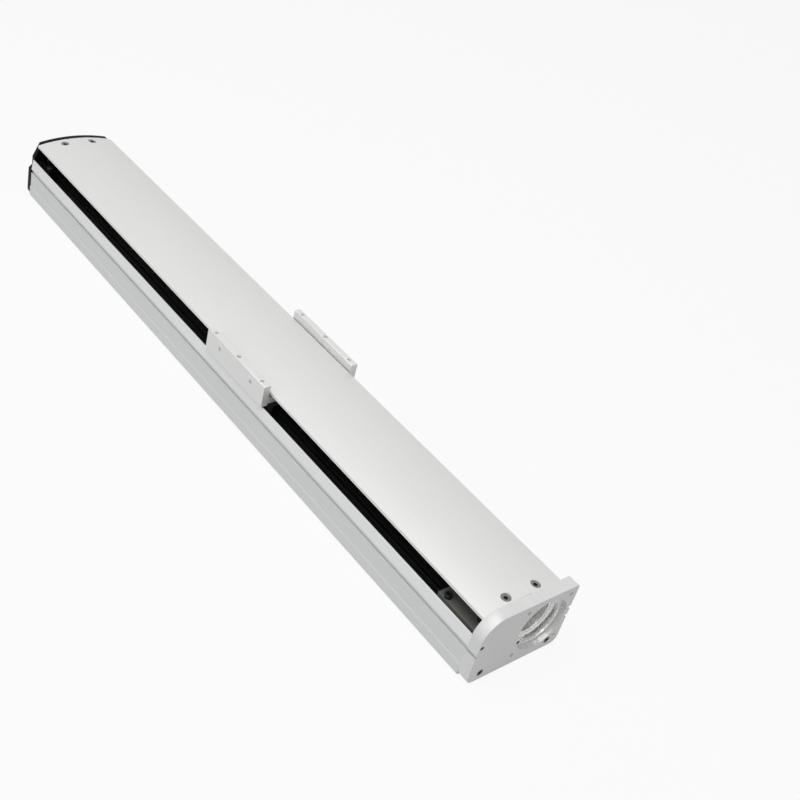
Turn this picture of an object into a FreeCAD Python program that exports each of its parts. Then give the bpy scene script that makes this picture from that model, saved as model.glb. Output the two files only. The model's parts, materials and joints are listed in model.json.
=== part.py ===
"""Ball screw linear actuator with a crowned cover: X along the stroke, Z up, in millimetres."""
import FreeCAD, Part
import Sketcher
import math
import os
from types import SimpleNamespace

document = FreeCAD.newDocument("BallScrewActuator")
sheet = document.addObject("Spreadsheet::Sheet", "Sizes")
subparts = []

# Directions in which a cylinder can run
TURNS = {
    "x": FreeCAD.Rotation(FreeCAD.Vector(0, 1, 0), 90),
    "y": FreeCAD.Rotation(FreeCAD.Vector(1, 0, 0), -90),
    "z": FreeCAD.Rotation(),
}
AXES = ("x", "y", "z")
SIDES = (-1, 1)
MATCH_TOLERANCE = 0.01


class Size:
    """A length that carries its number and the sheet formula that it comes from."""

    def __init__(self, text, number):
        self.text = text
        self.number = number

    @staticmethod
    def of(value):
        return value if isinstance(value, Size) else Size(repr(float(value)), float(value))

    def __add__(self, other):
        other = Size.of(other)
        return Size(f"({self.text} + {other.text})", self.number + other.number)

    def __radd__(self, other):
        return Size.of(other) + self

    def __sub__(self, other):
        other = Size.of(other)
        return Size(f"({self.text} - {other.text})", self.number - other.number)

    def __rsub__(self, other):
        return Size.of(other) - self

    def __mul__(self, other):
        other = Size.of(other)
        return Size(f"({self.text} * {other.text})", self.number * other.number)

    def __rmul__(self, other):
        return Size.of(other) * self

    def __truediv__(self, other):
        other = Size.of(other)
        return Size(f"({self.text} / {other.text})", self.number / other.number)

    def __neg__(self):
        return Size.of(0) - self


# Driving dimensions
DIMENSIONS = {
    # Base profile
    "overall_length": 1050,
    "body_width": 135,
    "wall_height": 59.2,
    "wall_thickness": 9,
    "floor_thickness": 16,
    "lip_bevel_height": 15.2,
    "lip_bevel_inset": 2.7,
    "lip_thickness": 4.2,
    "lip_depth": 11,
    "bottom_corner": 4,
    "foot_height": 15.5,
    "foot_slope_height": 2.5,
    "foot_step": 0.8,
    "side_groove_width": 4.5,
    "side_groove_depth": 3.5,
    "side_groove_drop": 18,
    "seat_width": 48,
    "guide_wall_gap": 3.5,
    "mount_hole_radius": 3.4,
    "mount_hole_depth": 10,
    "mount_hole_spread": 100,
    "outer_mount_pitch": 800,
    "inner_mount_pitch": 400,
    # Drive line, right of the middle as the motor bore shows
    "screw_radius": 8,
    "screw_lead": 10,
    "shoulder_radius": 7.5,
    "journal_radius": 6,
    "shaft_end_radius": 5,
    "shaft_end_length": 19,
    "thread_run_out": 4,
    # Bearings
    "bearing_radius": 14,
    "bearing_width": 8,
    "bearing_ball_circle": 10,
    "bearing_ball_radius": 2,
    "bearing_ring_gap": 3,
    "retainer_radius": 21,
    "retainer_half_width": 16.5,
    "retainer_thickness": 5,
    "retainer_bore": 11,
    "retainer_bolt_circle": 17,
    "collar_length": 8,
    "collar_radius": 8.5,
    "locknut_length": 8,
    "locknut_radius": 11,
    "locknut_slot": 3,
    "clip_thickness": 1.3,
    "clip_width": 2.3,
    # End block, housings and end plate
    "end_block_thickness": 15,
    "end_block_drop": 0.3,
    "end_bottom_corner": 10,
    "end_block_left_corner": 28,
    "end_block_right_corner": 4,
    "side_notch_width": 5,
    "side_notch_drop": 7.2,
    "side_notch_depth": 3.5,
    "pilot_radius": 35,
    "pilot_depth": 5,
    "coupling_bore": 28,
    "chamber_radius": 24,
    "motor_bolt_circle": 90,
    "motor_bolt_radius": 2.5,
    "recess_screw_offset": 22.3,
    "recess_screw_radius": 1.5,
    "recess_screw_bite": 10,
    "housing_length": 65,
    "chamber_length": 39,
    "far_housing_length": 38,
    "far_bridge_length": 26,
    "far_bearing_inset": 11,
    "housing_recess": 1.2,
    "bearing_boss_radius": 19.5,
    "bearing_boss_wall": 1,
    "bridge_inset": 21.5,
    "shaft_hole_radius": 9,
    "end_plate_thickness": 8,
    "end_plate_step_inset": 5,
    "end_plate_step_drop": 15.5,
    "end_plate_shoulder_rise": 3,
    "end_plate_corner_inset": 5,
    # Cover
    "cover_drop": 7,
    "cover_edge_inset": 0.3,
    "cover_clearance": 4.5,
    "cover_thickness": 3.5,
    "cover_rib_width": 13,
    "cover_screw_spread": 43.6,
    "cover_screw_near": 23,
    "cover_screw_far": 20,
    "cover_screw_radius": 3,
    "cover_screw_length": 7.5,
    "cover_head_sink": 1.9,
    # Guide
    "rail_width": 42,
    "rail_height": 15,
    "rail_end_gap": 1,
    "rail_groove_height": 8,
    "rail_screw_pitch": 60,
    "rail_screw_margin": 20,
    "rail_screw_spread": 24,
    "rail_screw_radius": 2,
    "rail_screw_length": 20,
    "guide_block_width": 60,
    "guide_block_length": 44,
    "guide_block_height": 23,
    "guide_block_lift": 4,
    "guide_block_gap": 3,
    "guide_cap_length": 5.5,
    "guide_cap_inset": 0.5,
    "guide_seal_thickness": 1.5,
    "guide_ball_radius": 1.6,
    "guide_ball_pitch": 4,
    # Carriage
    "carriage_position": 54,
    "carriage_length": 128,
    "ear_thickness": 9.3,
    "ear_gap": 2,
    "ear_lip_gap": 3.8,
    "ear_drop": 3,
    "ear_rise": 3.5,
    "ear_edge_round": 1.2,
    "table_thickness": 8,
    "ear_hole_pitch": 104,
    "ear_hole_radius": 2.5,
    "ear_hole_depth": 14,
    "dowel_hole_radius": 3,
    "dowel_hole_depth": 12,
    "side_hole_pitch": 70,
    "side_hole_height": 80,
    "side_hole_radius": 2.5,
    "side_hole_depth": 7,
    "guide_bolt_pitch": 30,
    "guide_bolt_spread": 46,
    "table_bolt_radius": 2.5,
    "table_bolt_grip": 2.8,
    "table_bolt_length": 11,
    # Ball nut and its bracket
    "nut_radius": 14,
    "nut_body_length": 47,
    "nut_flange_radius": 21,
    "nut_flange_flat": 19.5,
    "nut_top_gap": 0.5,
    "nut_flange_thickness": 10,
    "nut_bolt_circle": 17,
    "nut_bolt_radius": 2,
    "nut_bolt_length": 18,
    "nut_ball_radius": 1.6,
    "nut_ball_start": 12,
    "nut_race_length": 32,
    "nut_race_wall": 0.2,
    "wiper_thickness": 3,
    "wiper_radius": 12,
    "bracket_length": 40,
    "bracket_half_width": 16.5,
    "bracket_drop": 18,
    "bracket_gap": 5.5,
    "bracket_bolt_pitch": 14,
    "bracket_bolt_spread": 24,
    # Stops, liners and small fasteners
    "bumper_radius": 7,
    "bumper_edge_gap": 0.5,
    "bumper_rise": 5,
    "bumper_length": 23,
    "bumper_screw_radius": 2,
    "bumper_screw_length": 16,
    "bumper_recess": 7,
    "liner_thickness": 1,
    "end_screw_radius": 2.5,
    "end_screw_length": 14,
    "end_screw_spread": 100,
    "end_screw_height": 10.5,
    "wall_screw_radius": 2,
    "wall_screw_inset": 6,
    "wall_screw_height": 26,
    "lip_screw_radius": 1.5,
    "lip_screw_inset": 4.2,
    "plate_screw_length": 18,
    "housing_screw_radius": 2.5,
    "housing_screw_inset": 4.5,
    "left_screw_front": 11,
    "right_screw_front": 4.5,
    "housing_screw_back": 13,
    "far_screw_front": 6,
    "far_screw_back": 7,
    "seat_screw_gap": 6,
    "housing_screw_bite": 8,
    "nipple_radius": 2.5,
    "nipple_length": 5,
    "nipple_drop": 4,
    # Fits
    "fit_clearance": 0.05,
    "hole_clearance": 0.2,
    "side_clearance": 1,
    "running_gap": 0.4,
}


def driving(cell, name):
    """Write one driving dimension into the sheet and return it."""
    sheet.set(cell, str(DIMENSIONS[name]))
    sheet.setAlias(cell, name)
    return Size(f"Sizes.{name}", float(DIMENSIONS[name]))


# Every driving dimension under its own name, in millimetres
mm = SimpleNamespace(
    **{name: driving(f"A{row}", name) for row, name in enumerate(DIMENSIONS, start=1)}
)

# Proportions of screw heads, as shares of the shank radius
HEAD_RADIUS_SHARE = 1.7
HEAD_HEIGHT_SHARE = 2.0
SOCKET_RADIUS_SHARE = 0.95
SOCKET_DEPTH_SHARE = 1.1
SUNK_HEAD_SHARE = 1.95

# Numbers of repeated pieces
BEARING_BALLS = 11
GUIDE_BALLS_PER_ROW = 10
NUT_BALLS = 42
NUT_BALLS_PER_TURN = 17

# Heights, which follow from the top of the walls
ear_bottom = mm.wall_height + mm.ear_lip_gap
table_bottom = ear_bottom + mm.ear_drop
table_top = table_bottom + mm.table_thickness
seat_height = table_bottom - mm.guide_block_height - mm.guide_block_lift
rail_top = seat_height + mm.rail_height
drive_height = table_bottom - mm.nut_top_gap - mm.nut_flange_flat
cover_rest_height = table_top + mm.cover_clearance
cover_top = cover_rest_height + mm.cover_thickness + mm.cover_drop
ear_top = cover_top + mm.ear_rise
end_block_height = cover_top - mm.end_block_drop
housing_top = mm.wall_height - mm.housing_recess
lip_foot = mm.wall_height - mm.lip_depth
side_groove_height = mm.wall_height - mm.side_groove_drop
side_notch_height = mm.wall_height - mm.side_notch_drop
end_plate_step_height = mm.wall_height - mm.end_plate_step_drop
end_plate_shoulder_height = mm.wall_height + mm.end_plate_shoulder_rise
bumper_height = table_bottom + mm.bumper_rise

# Places across the body, which follow from its inner faces
half_width = mm.body_width / 2
side_face = half_width - mm.foot_step
inner_face = half_width - mm.wall_thickness
guide_middle = mm.guide_wall_gap + mm.guide_block_width / 2 - inner_face
seat_left = guide_middle - mm.seat_width / 2
seat_right = guide_middle + mm.seat_width / 2
drive_offset = guide_middle + mm.guide_block_width / 2 + mm.bracket_gap + mm.bracket_half_width
drive_axis = (drive_offset, drive_height)
cover_width = 2 * (inner_face - mm.cover_edge_inset)
crown_radius = (cover_width * cover_width / 4 + mm.cover_drop * mm.cover_drop) / (2 * mm.cover_drop)
crown_centre = cover_top - crown_radius
ear_inner = cover_width / 2 + mm.ear_gap
ear_middle = ear_inner + mm.ear_thickness / 2
ear_outer = ear_inner + mm.ear_thickness
housing_half_width = inner_face - mm.side_clearance
bridge_left = mm.bridge_inset - housing_half_width
bumper_margin = mm.bumper_radius + mm.bumper_edge_gap

# Places along the stroke, which follow from the two ends
half_length = mm.overall_length / 2
body_start = mm.end_plate_thickness - half_length
body_end = half_length - mm.end_block_thickness
housing_start = body_end - mm.housing_length
bridge_start = body_end - mm.chamber_length
far_housing_end = body_start + mm.far_housing_length
far_bridge_end = body_start + mm.far_bridge_length
rail_start = far_housing_end + mm.rail_end_gap
rail_end = housing_start - mm.rail_end_gap
bearing_start = bridge_start - 2 * mm.bearing_width
far_bearing_start = body_start + mm.far_bearing_inset
bracket_end = mm.carriage_position + mm.bracket_length / 2
nut_end = bracket_end + mm.nut_flange_thickness
nut_start = bracket_end - mm.nut_body_length


def bind(item, name, size):
    """Bind one property of an object to the sheet."""
    item.setExpression(name, Size.of(size).text)


def place(item, at, axis="z"):
    """Turn an object along an axis and put its own origin at a point."""
    item.Placement = FreeCAD.Placement(FreeCAD.Vector(), TURNS[axis])
    for name, size in zip(AXES, at):
        bind(item, f"Placement.Base.{name}", size)


def box(name, x, y, z):
    """A block between two limits along each axis."""
    item = document.addObject("Part::Box", name)
    for side, limits in zip(("Length", "Width", "Height"), (x, y, z)):
        bind(item, side, Size.of(limits[1]) - limits[0])
    place(item, (x[0], y[0], z[0]))
    return item


def rod(name, axis, at, radius, length):
    """A cylinder that starts at a point and runs along an axis."""
    item = document.addObject("Part::Cylinder", name)
    bind(item, "Radius", radius)
    bind(item, "Height", length)
    place(item, at, axis)
    return item


def taper(name, axis, at, start_radius, end_radius, length):
    """A cone that starts at a point and runs along an axis."""
    item = document.addObject("Part::Cone", name)
    bind(item, "Radius1", start_radius)
    bind(item, "Radius2", end_radius)
    bind(item, "Height", length)
    place(item, at, axis)
    return item


def hexagon(name, axis, at, radius, length):
    """A six-sided bar, for the socket of a screw head."""
    item = document.addObject("Part::Prism", name)
    item.Polygon = 6
    bind(item, "Circumradius", radius)
    bind(item, "Height", length)
    place(item, at, axis)
    return item


def ball(name, at, radius):
    """A ball around a point."""
    item = document.addObject("Part::Sphere", name)
    bind(item, "Radius", radius)
    place(item, at)
    return item


def ball_track(name, at, circle, radius):
    """A ring-shaped groove cutter around the X axis."""
    item = document.addObject("Part::Torus", name)
    bind(item, "Radius1", circle)
    bind(item, "Radius2", radius)
    place(item, at, "x")
    return item


def joined(name, pieces):
    """Several shapes made into one."""
    item = document.addObject("Part::MultiFuse", name)
    item.Shapes = pieces
    return item


def cut(name, base, tools):
    """A shape with tools taken out of it."""
    item = document.addObject("Part::Cut", name)
    item.Base = base
    item.Tool = tools[0] if len(tools) == 1 else joined(f"{name}_tools", tools)
    return item


def common(name, base, tool):
    """What two shapes share."""
    item = document.addObject("Part::Common", name)
    item.Base = base
    item.Tool = tool
    return item


def ring(name, at, outer, inner, length):
    """A tube along X that starts at a point."""
    hole = rod(f"{name}_hole", "x", at, inner, length)
    return cut(name, rod(f"{name}_disc", "x", at, outer, length), [hole])


def group(name, pieces):
    """Separate solids kept together as one sub-part."""
    item = document.addObject("Part::Compound", name)
    item.Links = pieces
    return item


def finish(item, label):
    """Give a sub-part its name and put it on the list of sub-parts."""
    item.Label = label
    subparts.append(item)
    return item


def outline(body, points):
    """A closed sketch across X whose corners are bound to the sheet."""
    sketch = body.newObject("Sketcher::SketchObject", f"{body.Name}_outline")
    plane = next(item for item in body.Origin.OriginFeatures if item.Role == "YZ_Plane")
    sketch.AttachmentSupport = [(plane, "")]
    sketch.MapMode = "FlatFace"
    corners = [(Size.of(y), Size.of(z)) for y, z in points]
    count = len(corners)
    for number, (y, z) in enumerate(corners):
        next_y, next_z = corners[(number + 1) % count]
        start = FreeCAD.Vector(y.number, z.number, 0)
        end = FreeCAD.Vector(next_y.number, next_z.number, 0)
        sketch.addGeometry(Part.LineSegment(start, end))
    for number in range(count):
        sketch.addConstraint(Sketcher.Constraint("Coincident", number, 2, (number + 1) % count, 1))
    for number, corner in enumerate(corners):
        for kind, size in zip(("DistanceX", "DistanceY"), corner):
            datum = sketch.addConstraint(Sketcher.Constraint(kind, -1, 1, number, 1, size.number))
            bind(sketch, f"Constraints[{datum}]", size)
    return sketch


def profile(name, points, x):
    """A body with one outline, drawn out along X between two limits."""
    body = document.addObject("PartDesign::Body", name)
    pad = body.newObject("PartDesign::Pad", f"{name}_pad")
    pad.Profile = outline(body, points)
    bind(pad, "Length", Size.of(x[1]) - x[0])
    bind(body, "Placement.Base.x", x[0])
    body.Tip = pad
    return body


def round_corners(body, corners, radius):
    """Round the edges of a drawn-out body that run along X through the given corners."""
    document.recompute()
    base = body.Tip
    spots = [(Size.of(y).number, Size.of(z).number) for y, z in corners]
    names = []
    for number, edge in enumerate(base.Shape.Edges, start=1):
        middle = edge.CenterOfMass
        is_long = edge.BoundBox.YLength < MATCH_TOLERANCE and edge.BoundBox.ZLength < MATCH_TOLERANCE
        if is_long and any(math.hypot(middle.y - y, middle.z - z) < MATCH_TOLERANCE for y, z in spots):
            names.append(f"Edge{number}")
    fillet = body.newObject("PartDesign::Fillet", f"{body.Name}_round_{len(body.Group)}")
    fillet.Base = (base, names)
    bind(fillet, "Radius", radius)
    body.Tip = fillet
    return body


def mirrored(points):
    """An outline's right half followed by its left half."""
    return points + [(-y, z) for y, z in reversed(points)]


def shifted(at, axis, distance):
    """A point moved along one axis."""
    return tuple(size + distance if name == axis else size for name, size in zip(AXES, at))


def cap_screw(name, axis, seat, radius, length, side=1):
    """A socket head screw: the head stands on its seat, and the shank runs the other way."""
    head_height = radius * HEAD_HEIGHT_SHARE
    socket_depth = radius * SOCKET_DEPTH_SHARE
    head_start = seat if side > 0 else shifted(seat, axis, -head_height)
    shank_start = shifted(seat, axis, -length) if side > 0 else seat
    socket_start = shifted(seat, axis, head_height - socket_depth if side > 0 else -head_height)
    head = rod(f"{name}_head", axis, head_start, radius * HEAD_RADIUS_SHARE, head_height)
    shank = rod(f"{name}_shank", axis, shank_start, radius, length)
    socket = hexagon(f"{name}_socket", axis, socket_start, radius * SOCKET_RADIUS_SHARE, socket_depth)
    return cut(name, joined(f"{name}_blank", [head, shank]), [socket])


def countersunk_screw(name, axis, top, radius, length, side=1):
    """A countersunk screw whose flat head ends at a point."""
    head_radius = radius * SUNK_HEAD_SHARE
    head_height = head_radius - radius
    socket_depth = head_height * SOCKET_RADIUS_SHARE
    if side > 0:
        head = taper(f"{name}_head", axis, shifted(top, axis, -head_height), radius, head_radius, head_height)
        shank = rod(f"{name}_shank", axis, shifted(top, axis, -length), radius, length - head_height)
        socket_start = shifted(top, axis, -socket_depth)
    else:
        head = taper(f"{name}_head", axis, top, head_radius, radius, head_height)
        shank = rod(f"{name}_shank", axis, shifted(top, axis, head_height), radius, length - head_height)
        socket_start = top
    socket = hexagon(f"{name}_socket", axis, socket_start, radius * SOCKET_RADIUS_SHARE, socket_depth)
    return cut(name, joined(f"{name}_blank", [head, shank]), [socket])


# Places of the fasteners that join one piece to another
def floor_screw_places():
    """Where an end piece is screwed to the base's floor: Y, Z and radius."""
    return [(side * mm.end_screw_spread / 2, mm.end_screw_height, mm.end_screw_radius) for side in SIDES]


def block_screw_places():
    """Where the end block is screwed to the base's floor and left lip: Y, Z and radius."""
    lip_y = mm.lip_screw_inset - half_width
    lip_z = side_notch_height + mm.side_notch_width / 2
    return floor_screw_places() + [(lip_y, lip_z, mm.lip_screw_radius)]


def plate_screw_places():
    """Where the end plate is screwed to the base's floor and walls: Y, Z and radius."""
    places = floor_screw_places()
    for side in SIDES:
        wall_y = side * (half_width - mm.wall_screw_inset)
        places.append((wall_y, mm.wall_screw_height, mm.wall_screw_radius))
    return places


def rail_screw_places():
    """Where the rail is screwed to its seat: as many pairs as the rail has room for."""
    middle = (rail_start + rail_end) / 2
    room = rail_end - rail_start - 2 * mm.rail_screw_margin
    steps = int(room.number // mm.rail_screw_pitch.number)
    places = []
    for number in range(steps + 1):
        x = middle + (number - steps / 2) * mm.rail_screw_pitch
        for side in SIDES:
            places.append((x, guide_middle + side * mm.rail_screw_spread / 2))
    return places


def housing_screw_places():
    """Where the two bearing housings are screwed down to the base, and the height of its face there."""
    reach = housing_half_width - mm.housing_screw_inset
    far = far_housing_end - mm.far_screw_front
    places = []
    for side, front in zip(SIDES, (mm.left_screw_front, mm.right_screw_front)):
        for x in (housing_start + front, far):
            places.append((x, side * reach, mm.floor_thickness))
    for x in (body_end - mm.housing_screw_back, body_start + mm.far_screw_back):
        places.append((x, bridge_left - mm.seat_screw_gap, seat_height))
    return places


def cover_screw_places():
    """Where the cover is screwed to the two housings."""
    places = (half_length - mm.cover_screw_near, mm.cover_screw_far - half_length)
    return [(x, side * mm.cover_screw_spread / 2) for x in places for side in SIDES]


def guide_block_middles():
    """Where the two guide blocks stand along X."""
    step = (mm.guide_block_length + mm.guide_block_gap) / 2 + mm.guide_cap_length + mm.guide_seal_thickness
    return [("rear", mm.carriage_position - step), ("front", mm.carriage_position + step)]


def guide_bolt_places():
    """Where the table is screwed to the guide blocks."""
    places = []
    for _, middle in guide_block_middles():
        for along in SIDES:
            for across in SIDES:
                x = middle + along * mm.guide_bolt_pitch / 2
                places.append((x, guide_middle + across * mm.guide_bolt_spread / 2))
    return places


def bracket_bolt_places():
    """Where the table is screwed to the nut bracket."""
    places = []
    for along in SIDES:
        for across in SIDES:
            x = mm.carriage_position + along * mm.bracket_bolt_pitch / 2
            places.append((x, drive_offset + across * mm.bracket_bolt_spread / 2))
    return places


def bumper_places():
    """Each bumper's foot on the face of a bridge, and its direction: towards the carriage."""
    feet = ((bridge_start, -1), (far_bridge_end, 1))
    across = (bridge_left + bumper_margin, housing_half_width - bumper_margin)
    return [(x, y, towards) for x, towards in feet for y in across]


def around_drive(circle, count, turn):
    """Points on a circle around the drive line."""
    points = []
    for number in range(count):
        angle = turn + 2 * math.pi * number / count
        y = drive_offset + circle * math.cos(angle)
        points.append((y, drive_height + circle * math.sin(angle)))
    return points


def recess_screw_places():
    """Where the end block is screwed to the drive housing, under the motor's spigot."""
    y = drive_offset - mm.recess_screw_offset
    return [(y, drive_height + side * mm.recess_screw_offset) for side in SIDES]


# Base
def side_slot(face, bottom, width, depth):
    """The corners of a slot in a right-hand face, from the bottom up; the full width is depth 0."""
    return [
        (face, bottom),
        (half_width - depth, bottom),
        (half_width - depth, bottom + width),
        (face, bottom + width),
    ]


def side_groove(face):
    """The groove that runs along the base and its end block."""
    bottom = side_groove_height - mm.side_groove_width / 2
    return side_slot(face, bottom, mm.side_groove_width, mm.side_groove_depth)


def make_base():
    """The extruded base: a channel with a foot, a guide seat, side grooves and walls that thin to a lip."""
    right = [
        (half_width, 0),
        (half_width, mm.foot_height),
        (side_face, mm.foot_height + mm.foot_slope_height),
        *side_groove(side_face),
        (side_face, mm.wall_height - mm.lip_bevel_height),
        (half_width - mm.lip_bevel_inset, mm.wall_height),
        (half_width - mm.lip_thickness, mm.wall_height),
        (inner_face, lip_foot),
        (inner_face, mm.floor_thickness),
    ]
    left = [(-y, z) for y, z in reversed(right)]
    seat = [
        (seat_right, mm.floor_thickness),
        (seat_right, seat_height),
        (seat_left, seat_height),
        (seat_left, mm.floor_thickness),
    ]
    body = profile("base_profile", right + seat + left, (body_start, body_end))
    round_corners(body, [(half_width, 0), (-half_width, 0)], mm.bottom_corner)
    holes = []
    head_sink = mm.rail_screw_radius * HEAD_HEIGHT_SHARE + mm.hole_clearance
    depth = mm.rail_screw_length - mm.rail_height + head_sink
    for x, y in rail_screw_places():
        at = (x, y, seat_height - depth)
        holes.append(rod("rail_thread", "z", at, mm.rail_screw_radius + mm.fit_clearance, depth))
    depth = mm.housing_screw_bite + mm.hole_clearance
    for x, y, face in housing_screw_places():
        at = (x, y, face - depth)
        holes.append(rod("housing_thread", "z", at, mm.housing_screw_radius + mm.fit_clearance, depth))
    depth = mm.end_screw_length + mm.hole_clearance
    for x, places in ((body_start, plate_screw_places()), (body_end - depth, block_screw_places())):
        for y, z, radius in places:
            holes.append(rod("end_thread", "x", (x, y, z), radius + mm.fit_clearance, depth))
    for pitch in (mm.outer_mount_pitch, mm.inner_mount_pitch):
        for along in SIDES:
            for across in SIDES:
                at = (along * pitch / 2, across * mm.mount_hole_spread / 2, 0)
                holes.append(rod("mount_thread", "z", at, mm.mount_hole_radius, mm.mount_hole_depth))
    finish(cut("base", body, holes), "base_extrusion")


def make_liners():
    """Black strips that line the channel's walls below the lips, and its floor beside the guide seat."""
    x = (rail_start, rail_end)
    edges = (("left", -1, seat_left), ("right", 1, seat_right))
    for name, side, seat_edge in edges:
        wall = side * (inner_face - mm.fit_clearance)
        inside = wall - side * mm.liner_thickness
        foot = seat_edge + side * mm.fit_clearance
        points = [
            (wall, mm.floor_thickness),
            (wall, lip_foot),
            (inside, lip_foot),
            (inside, mm.floor_thickness + mm.liner_thickness),
            (foot, mm.floor_thickness + mm.liner_thickness),
            (foot, mm.floor_thickness),
        ]
        finish(profile(f"{name}_liner", points, x), f"{name}_channel_liner")


# Motor end
def make_end_block():
    """The motor end block, with its pilot recess, coupling bore and motor bolt holes."""
    low = [(half_width, 0), *side_groove(half_width)]
    notch = side_slot(half_width, side_notch_height, mm.side_notch_width, mm.side_notch_depth)
    top = [(half_width, end_block_height), (-half_width, end_block_height)]
    left = [(-y, z) for y, z in reversed(low)]
    body = profile("end_block_profile", low + notch + top + left, (body_end, half_length))
    round_corners(body, [(half_width, 0), (-half_width, 0)], mm.end_bottom_corner)
    round_corners(body, [(-half_width, end_block_height)], mm.end_block_left_corner)
    round_corners(body, [(half_width, end_block_height)], mm.end_block_right_corner)
    pilot_floor = (half_length - mm.pilot_depth, *drive_axis)
    holes = [
        rod("pilot_recess", "x", pilot_floor, mm.pilot_radius, mm.pilot_depth),
        rod("coupling_hole", "x", (body_end, *drive_axis), mm.coupling_bore, mm.end_block_thickness),
    ]
    for y, z in around_drive(mm.motor_bolt_circle / 2, 4, math.pi / 4):
        holes.append(rod("motor_thread", "x", (body_end, y, z), mm.motor_bolt_radius, mm.end_block_thickness))
    fixings = [(y, z, radius, half_length, mm.end_screw_length) for y, z, radius in block_screw_places()]
    for y, z in recess_screw_places():
        fixings.append((y, z, mm.recess_screw_radius, half_length - mm.pilot_depth, mm.recess_screw_bite))
    screws = []
    for y, z, radius, face, bite in fixings:
        head_depth = radius * HEAD_HEIGHT_SHARE + mm.hole_clearance
        seat = (face - head_depth, y, z)
        length = bite + face - head_depth - body_end
        hole_radius = radius + mm.hole_clearance
        holes.append(rod("end_hole", "x", (body_end, y, z), hole_radius, mm.end_block_thickness))
        holes.append(rod("end_sink", "x", seat, radius * HEAD_RADIUS_SHARE + mm.hole_clearance, head_depth))
        screws.append(cap_screw("end_block_screw", "x", seat, radius, length))
    finish(cut("end_block", body, holes), "motor_end_block")
    finish(group("end_block_screw_set", screws), "end_block_screws")


def housing_block(name, x, bridge_x):
    """A bearing housing that stands over the guide seat, with a bridge that carries the cover."""
    low_y = (-housing_half_width, housing_half_width)
    low = box(f"{name}_low", x, low_y, (mm.floor_thickness, housing_top))
    bridge_y = (bridge_left, housing_half_width)
    bridge = box(f"{name}_bridge", bridge_x, bridge_y, (housing_top, cover_rest_height))
    seat_y = (seat_left - mm.hole_clearance, seat_right + mm.hole_clearance)
    seat = box(f"{name}_seat", x, seat_y, (mm.floor_thickness, seat_height))
    return joined(f"{name}_blank", [low, bridge]), seat


def shared_housing_holes(name, x_limits):
    """Holes for the cover screws, the hold-down screws and the bumper screws in one housing."""
    low, high = (limit.number for limit in x_limits)
    holes = []
    depth = mm.cover_screw_length
    for x, y in cover_screw_places():
        if low < x.number < high:
            at = (x, y, cover_rest_height - depth)
            radius = mm.cover_screw_radius + mm.fit_clearance
            holes.append(rod(f"{name}_cover_thread", "z", at, radius, depth))
    for x, y, face in housing_screw_places():
        if low < x.number < high:
            radius = mm.housing_screw_radius + mm.hole_clearance
            holes.append(rod(f"{name}_screw_hole", "z", (x, y, face), radius, housing_top - face))
    depth = mm.bumper_screw_length + mm.hole_clearance
    for x, y, towards in bumper_places():
        if low < x.number < high:
            at = (x if towards < 0 else x - depth, y, bumper_height)
            radius = mm.bumper_screw_radius + mm.fit_clearance
            holes.append(rod(f"{name}_bumper_thread", "x", at, radius, depth))
    return holes


def make_drive_housing():
    """The fixed-side housing: two bearings, then the chamber for the motor coupling."""
    x = (housing_start, body_end)
    blank, seat = housing_block("drive", x, (bridge_start, body_end))
    boss_x = (bearing_start - mm.bearing_boss_wall, bridge_start)
    boss_y = (-housing_half_width, housing_half_width)
    boss_rod = rod("boss_rod", "x", (boss_x[0], *drive_axis), mm.bearing_boss_radius, boss_x[1] - boss_x[0])
    boss_room = box("boss_room", boss_x, boss_y, (mm.floor_thickness, cover_rest_height))
    boss = common("drive_boss", boss_rod, boss_room)
    bore_radius = mm.bearing_radius + mm.fit_clearance
    holes = [
        seat,
        rod("drive_shaft_hole", "x", (housing_start, *drive_axis), mm.shaft_hole_radius, mm.housing_length),
        rod("drive_bearing_bore", "x", (bearing_start, *drive_axis), bore_radius, 2 * mm.bearing_width),
        rod("drive_chamber", "x", (bridge_start, *drive_axis), mm.chamber_radius, mm.chamber_length),
    ]
    depth = 2 * mm.bearing_width - mm.hole_clearance
    for y, z in around_drive(mm.retainer_bolt_circle, 4, math.pi / 4):
        at = (bridge_start - depth, y, z)
        holes.append(rod("retainer_thread", "x", at, mm.nut_bolt_radius + mm.fit_clearance, depth))
    depth = mm.recess_screw_bite + mm.hole_clearance
    for y, z in recess_screw_places():
        at = (body_end - depth, y, z)
        holes.append(rod("recess_thread", "x", at, mm.recess_screw_radius + mm.fit_clearance, depth))
    holes += shared_housing_holes("drive", x)
    finish(cut("drive_housing_block", joined("drive_bossed", [blank, boss]), holes), "drive_housing")


def make_far_housing():
    """The support housing at the far end, with one bearing."""
    x = (body_start, far_housing_end)
    blank, seat = housing_block("far", x, (body_start, far_bridge_end))
    bore_length = mm.far_bearing_inset + mm.bearing_width
    bore_radius = mm.bearing_radius + mm.fit_clearance
    holes = [
        seat,
        rod("far_shaft_hole", "x", (body_start, *drive_axis), mm.shaft_hole_radius, mm.far_housing_length),
        rod("far_bearing_bore", "x", (body_start, *drive_axis), bore_radius, bore_length),
    ]
    holes += shared_housing_holes("far", x)
    finish(cut("far_housing_block", blank, holes), "far_support_housing")


def make_housing_screws():
    """Socket head screws that hold both housings down."""
    screws = []
    for x, y, face in housing_screw_places():
        length = housing_top - face + mm.housing_screw_bite
        seat = (x, y, housing_top)
        screws.append(cap_screw("housing_screw", "z", seat, mm.housing_screw_radius, length))
    finish(group("housing_screw_set", screws), "housing_screws")


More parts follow.
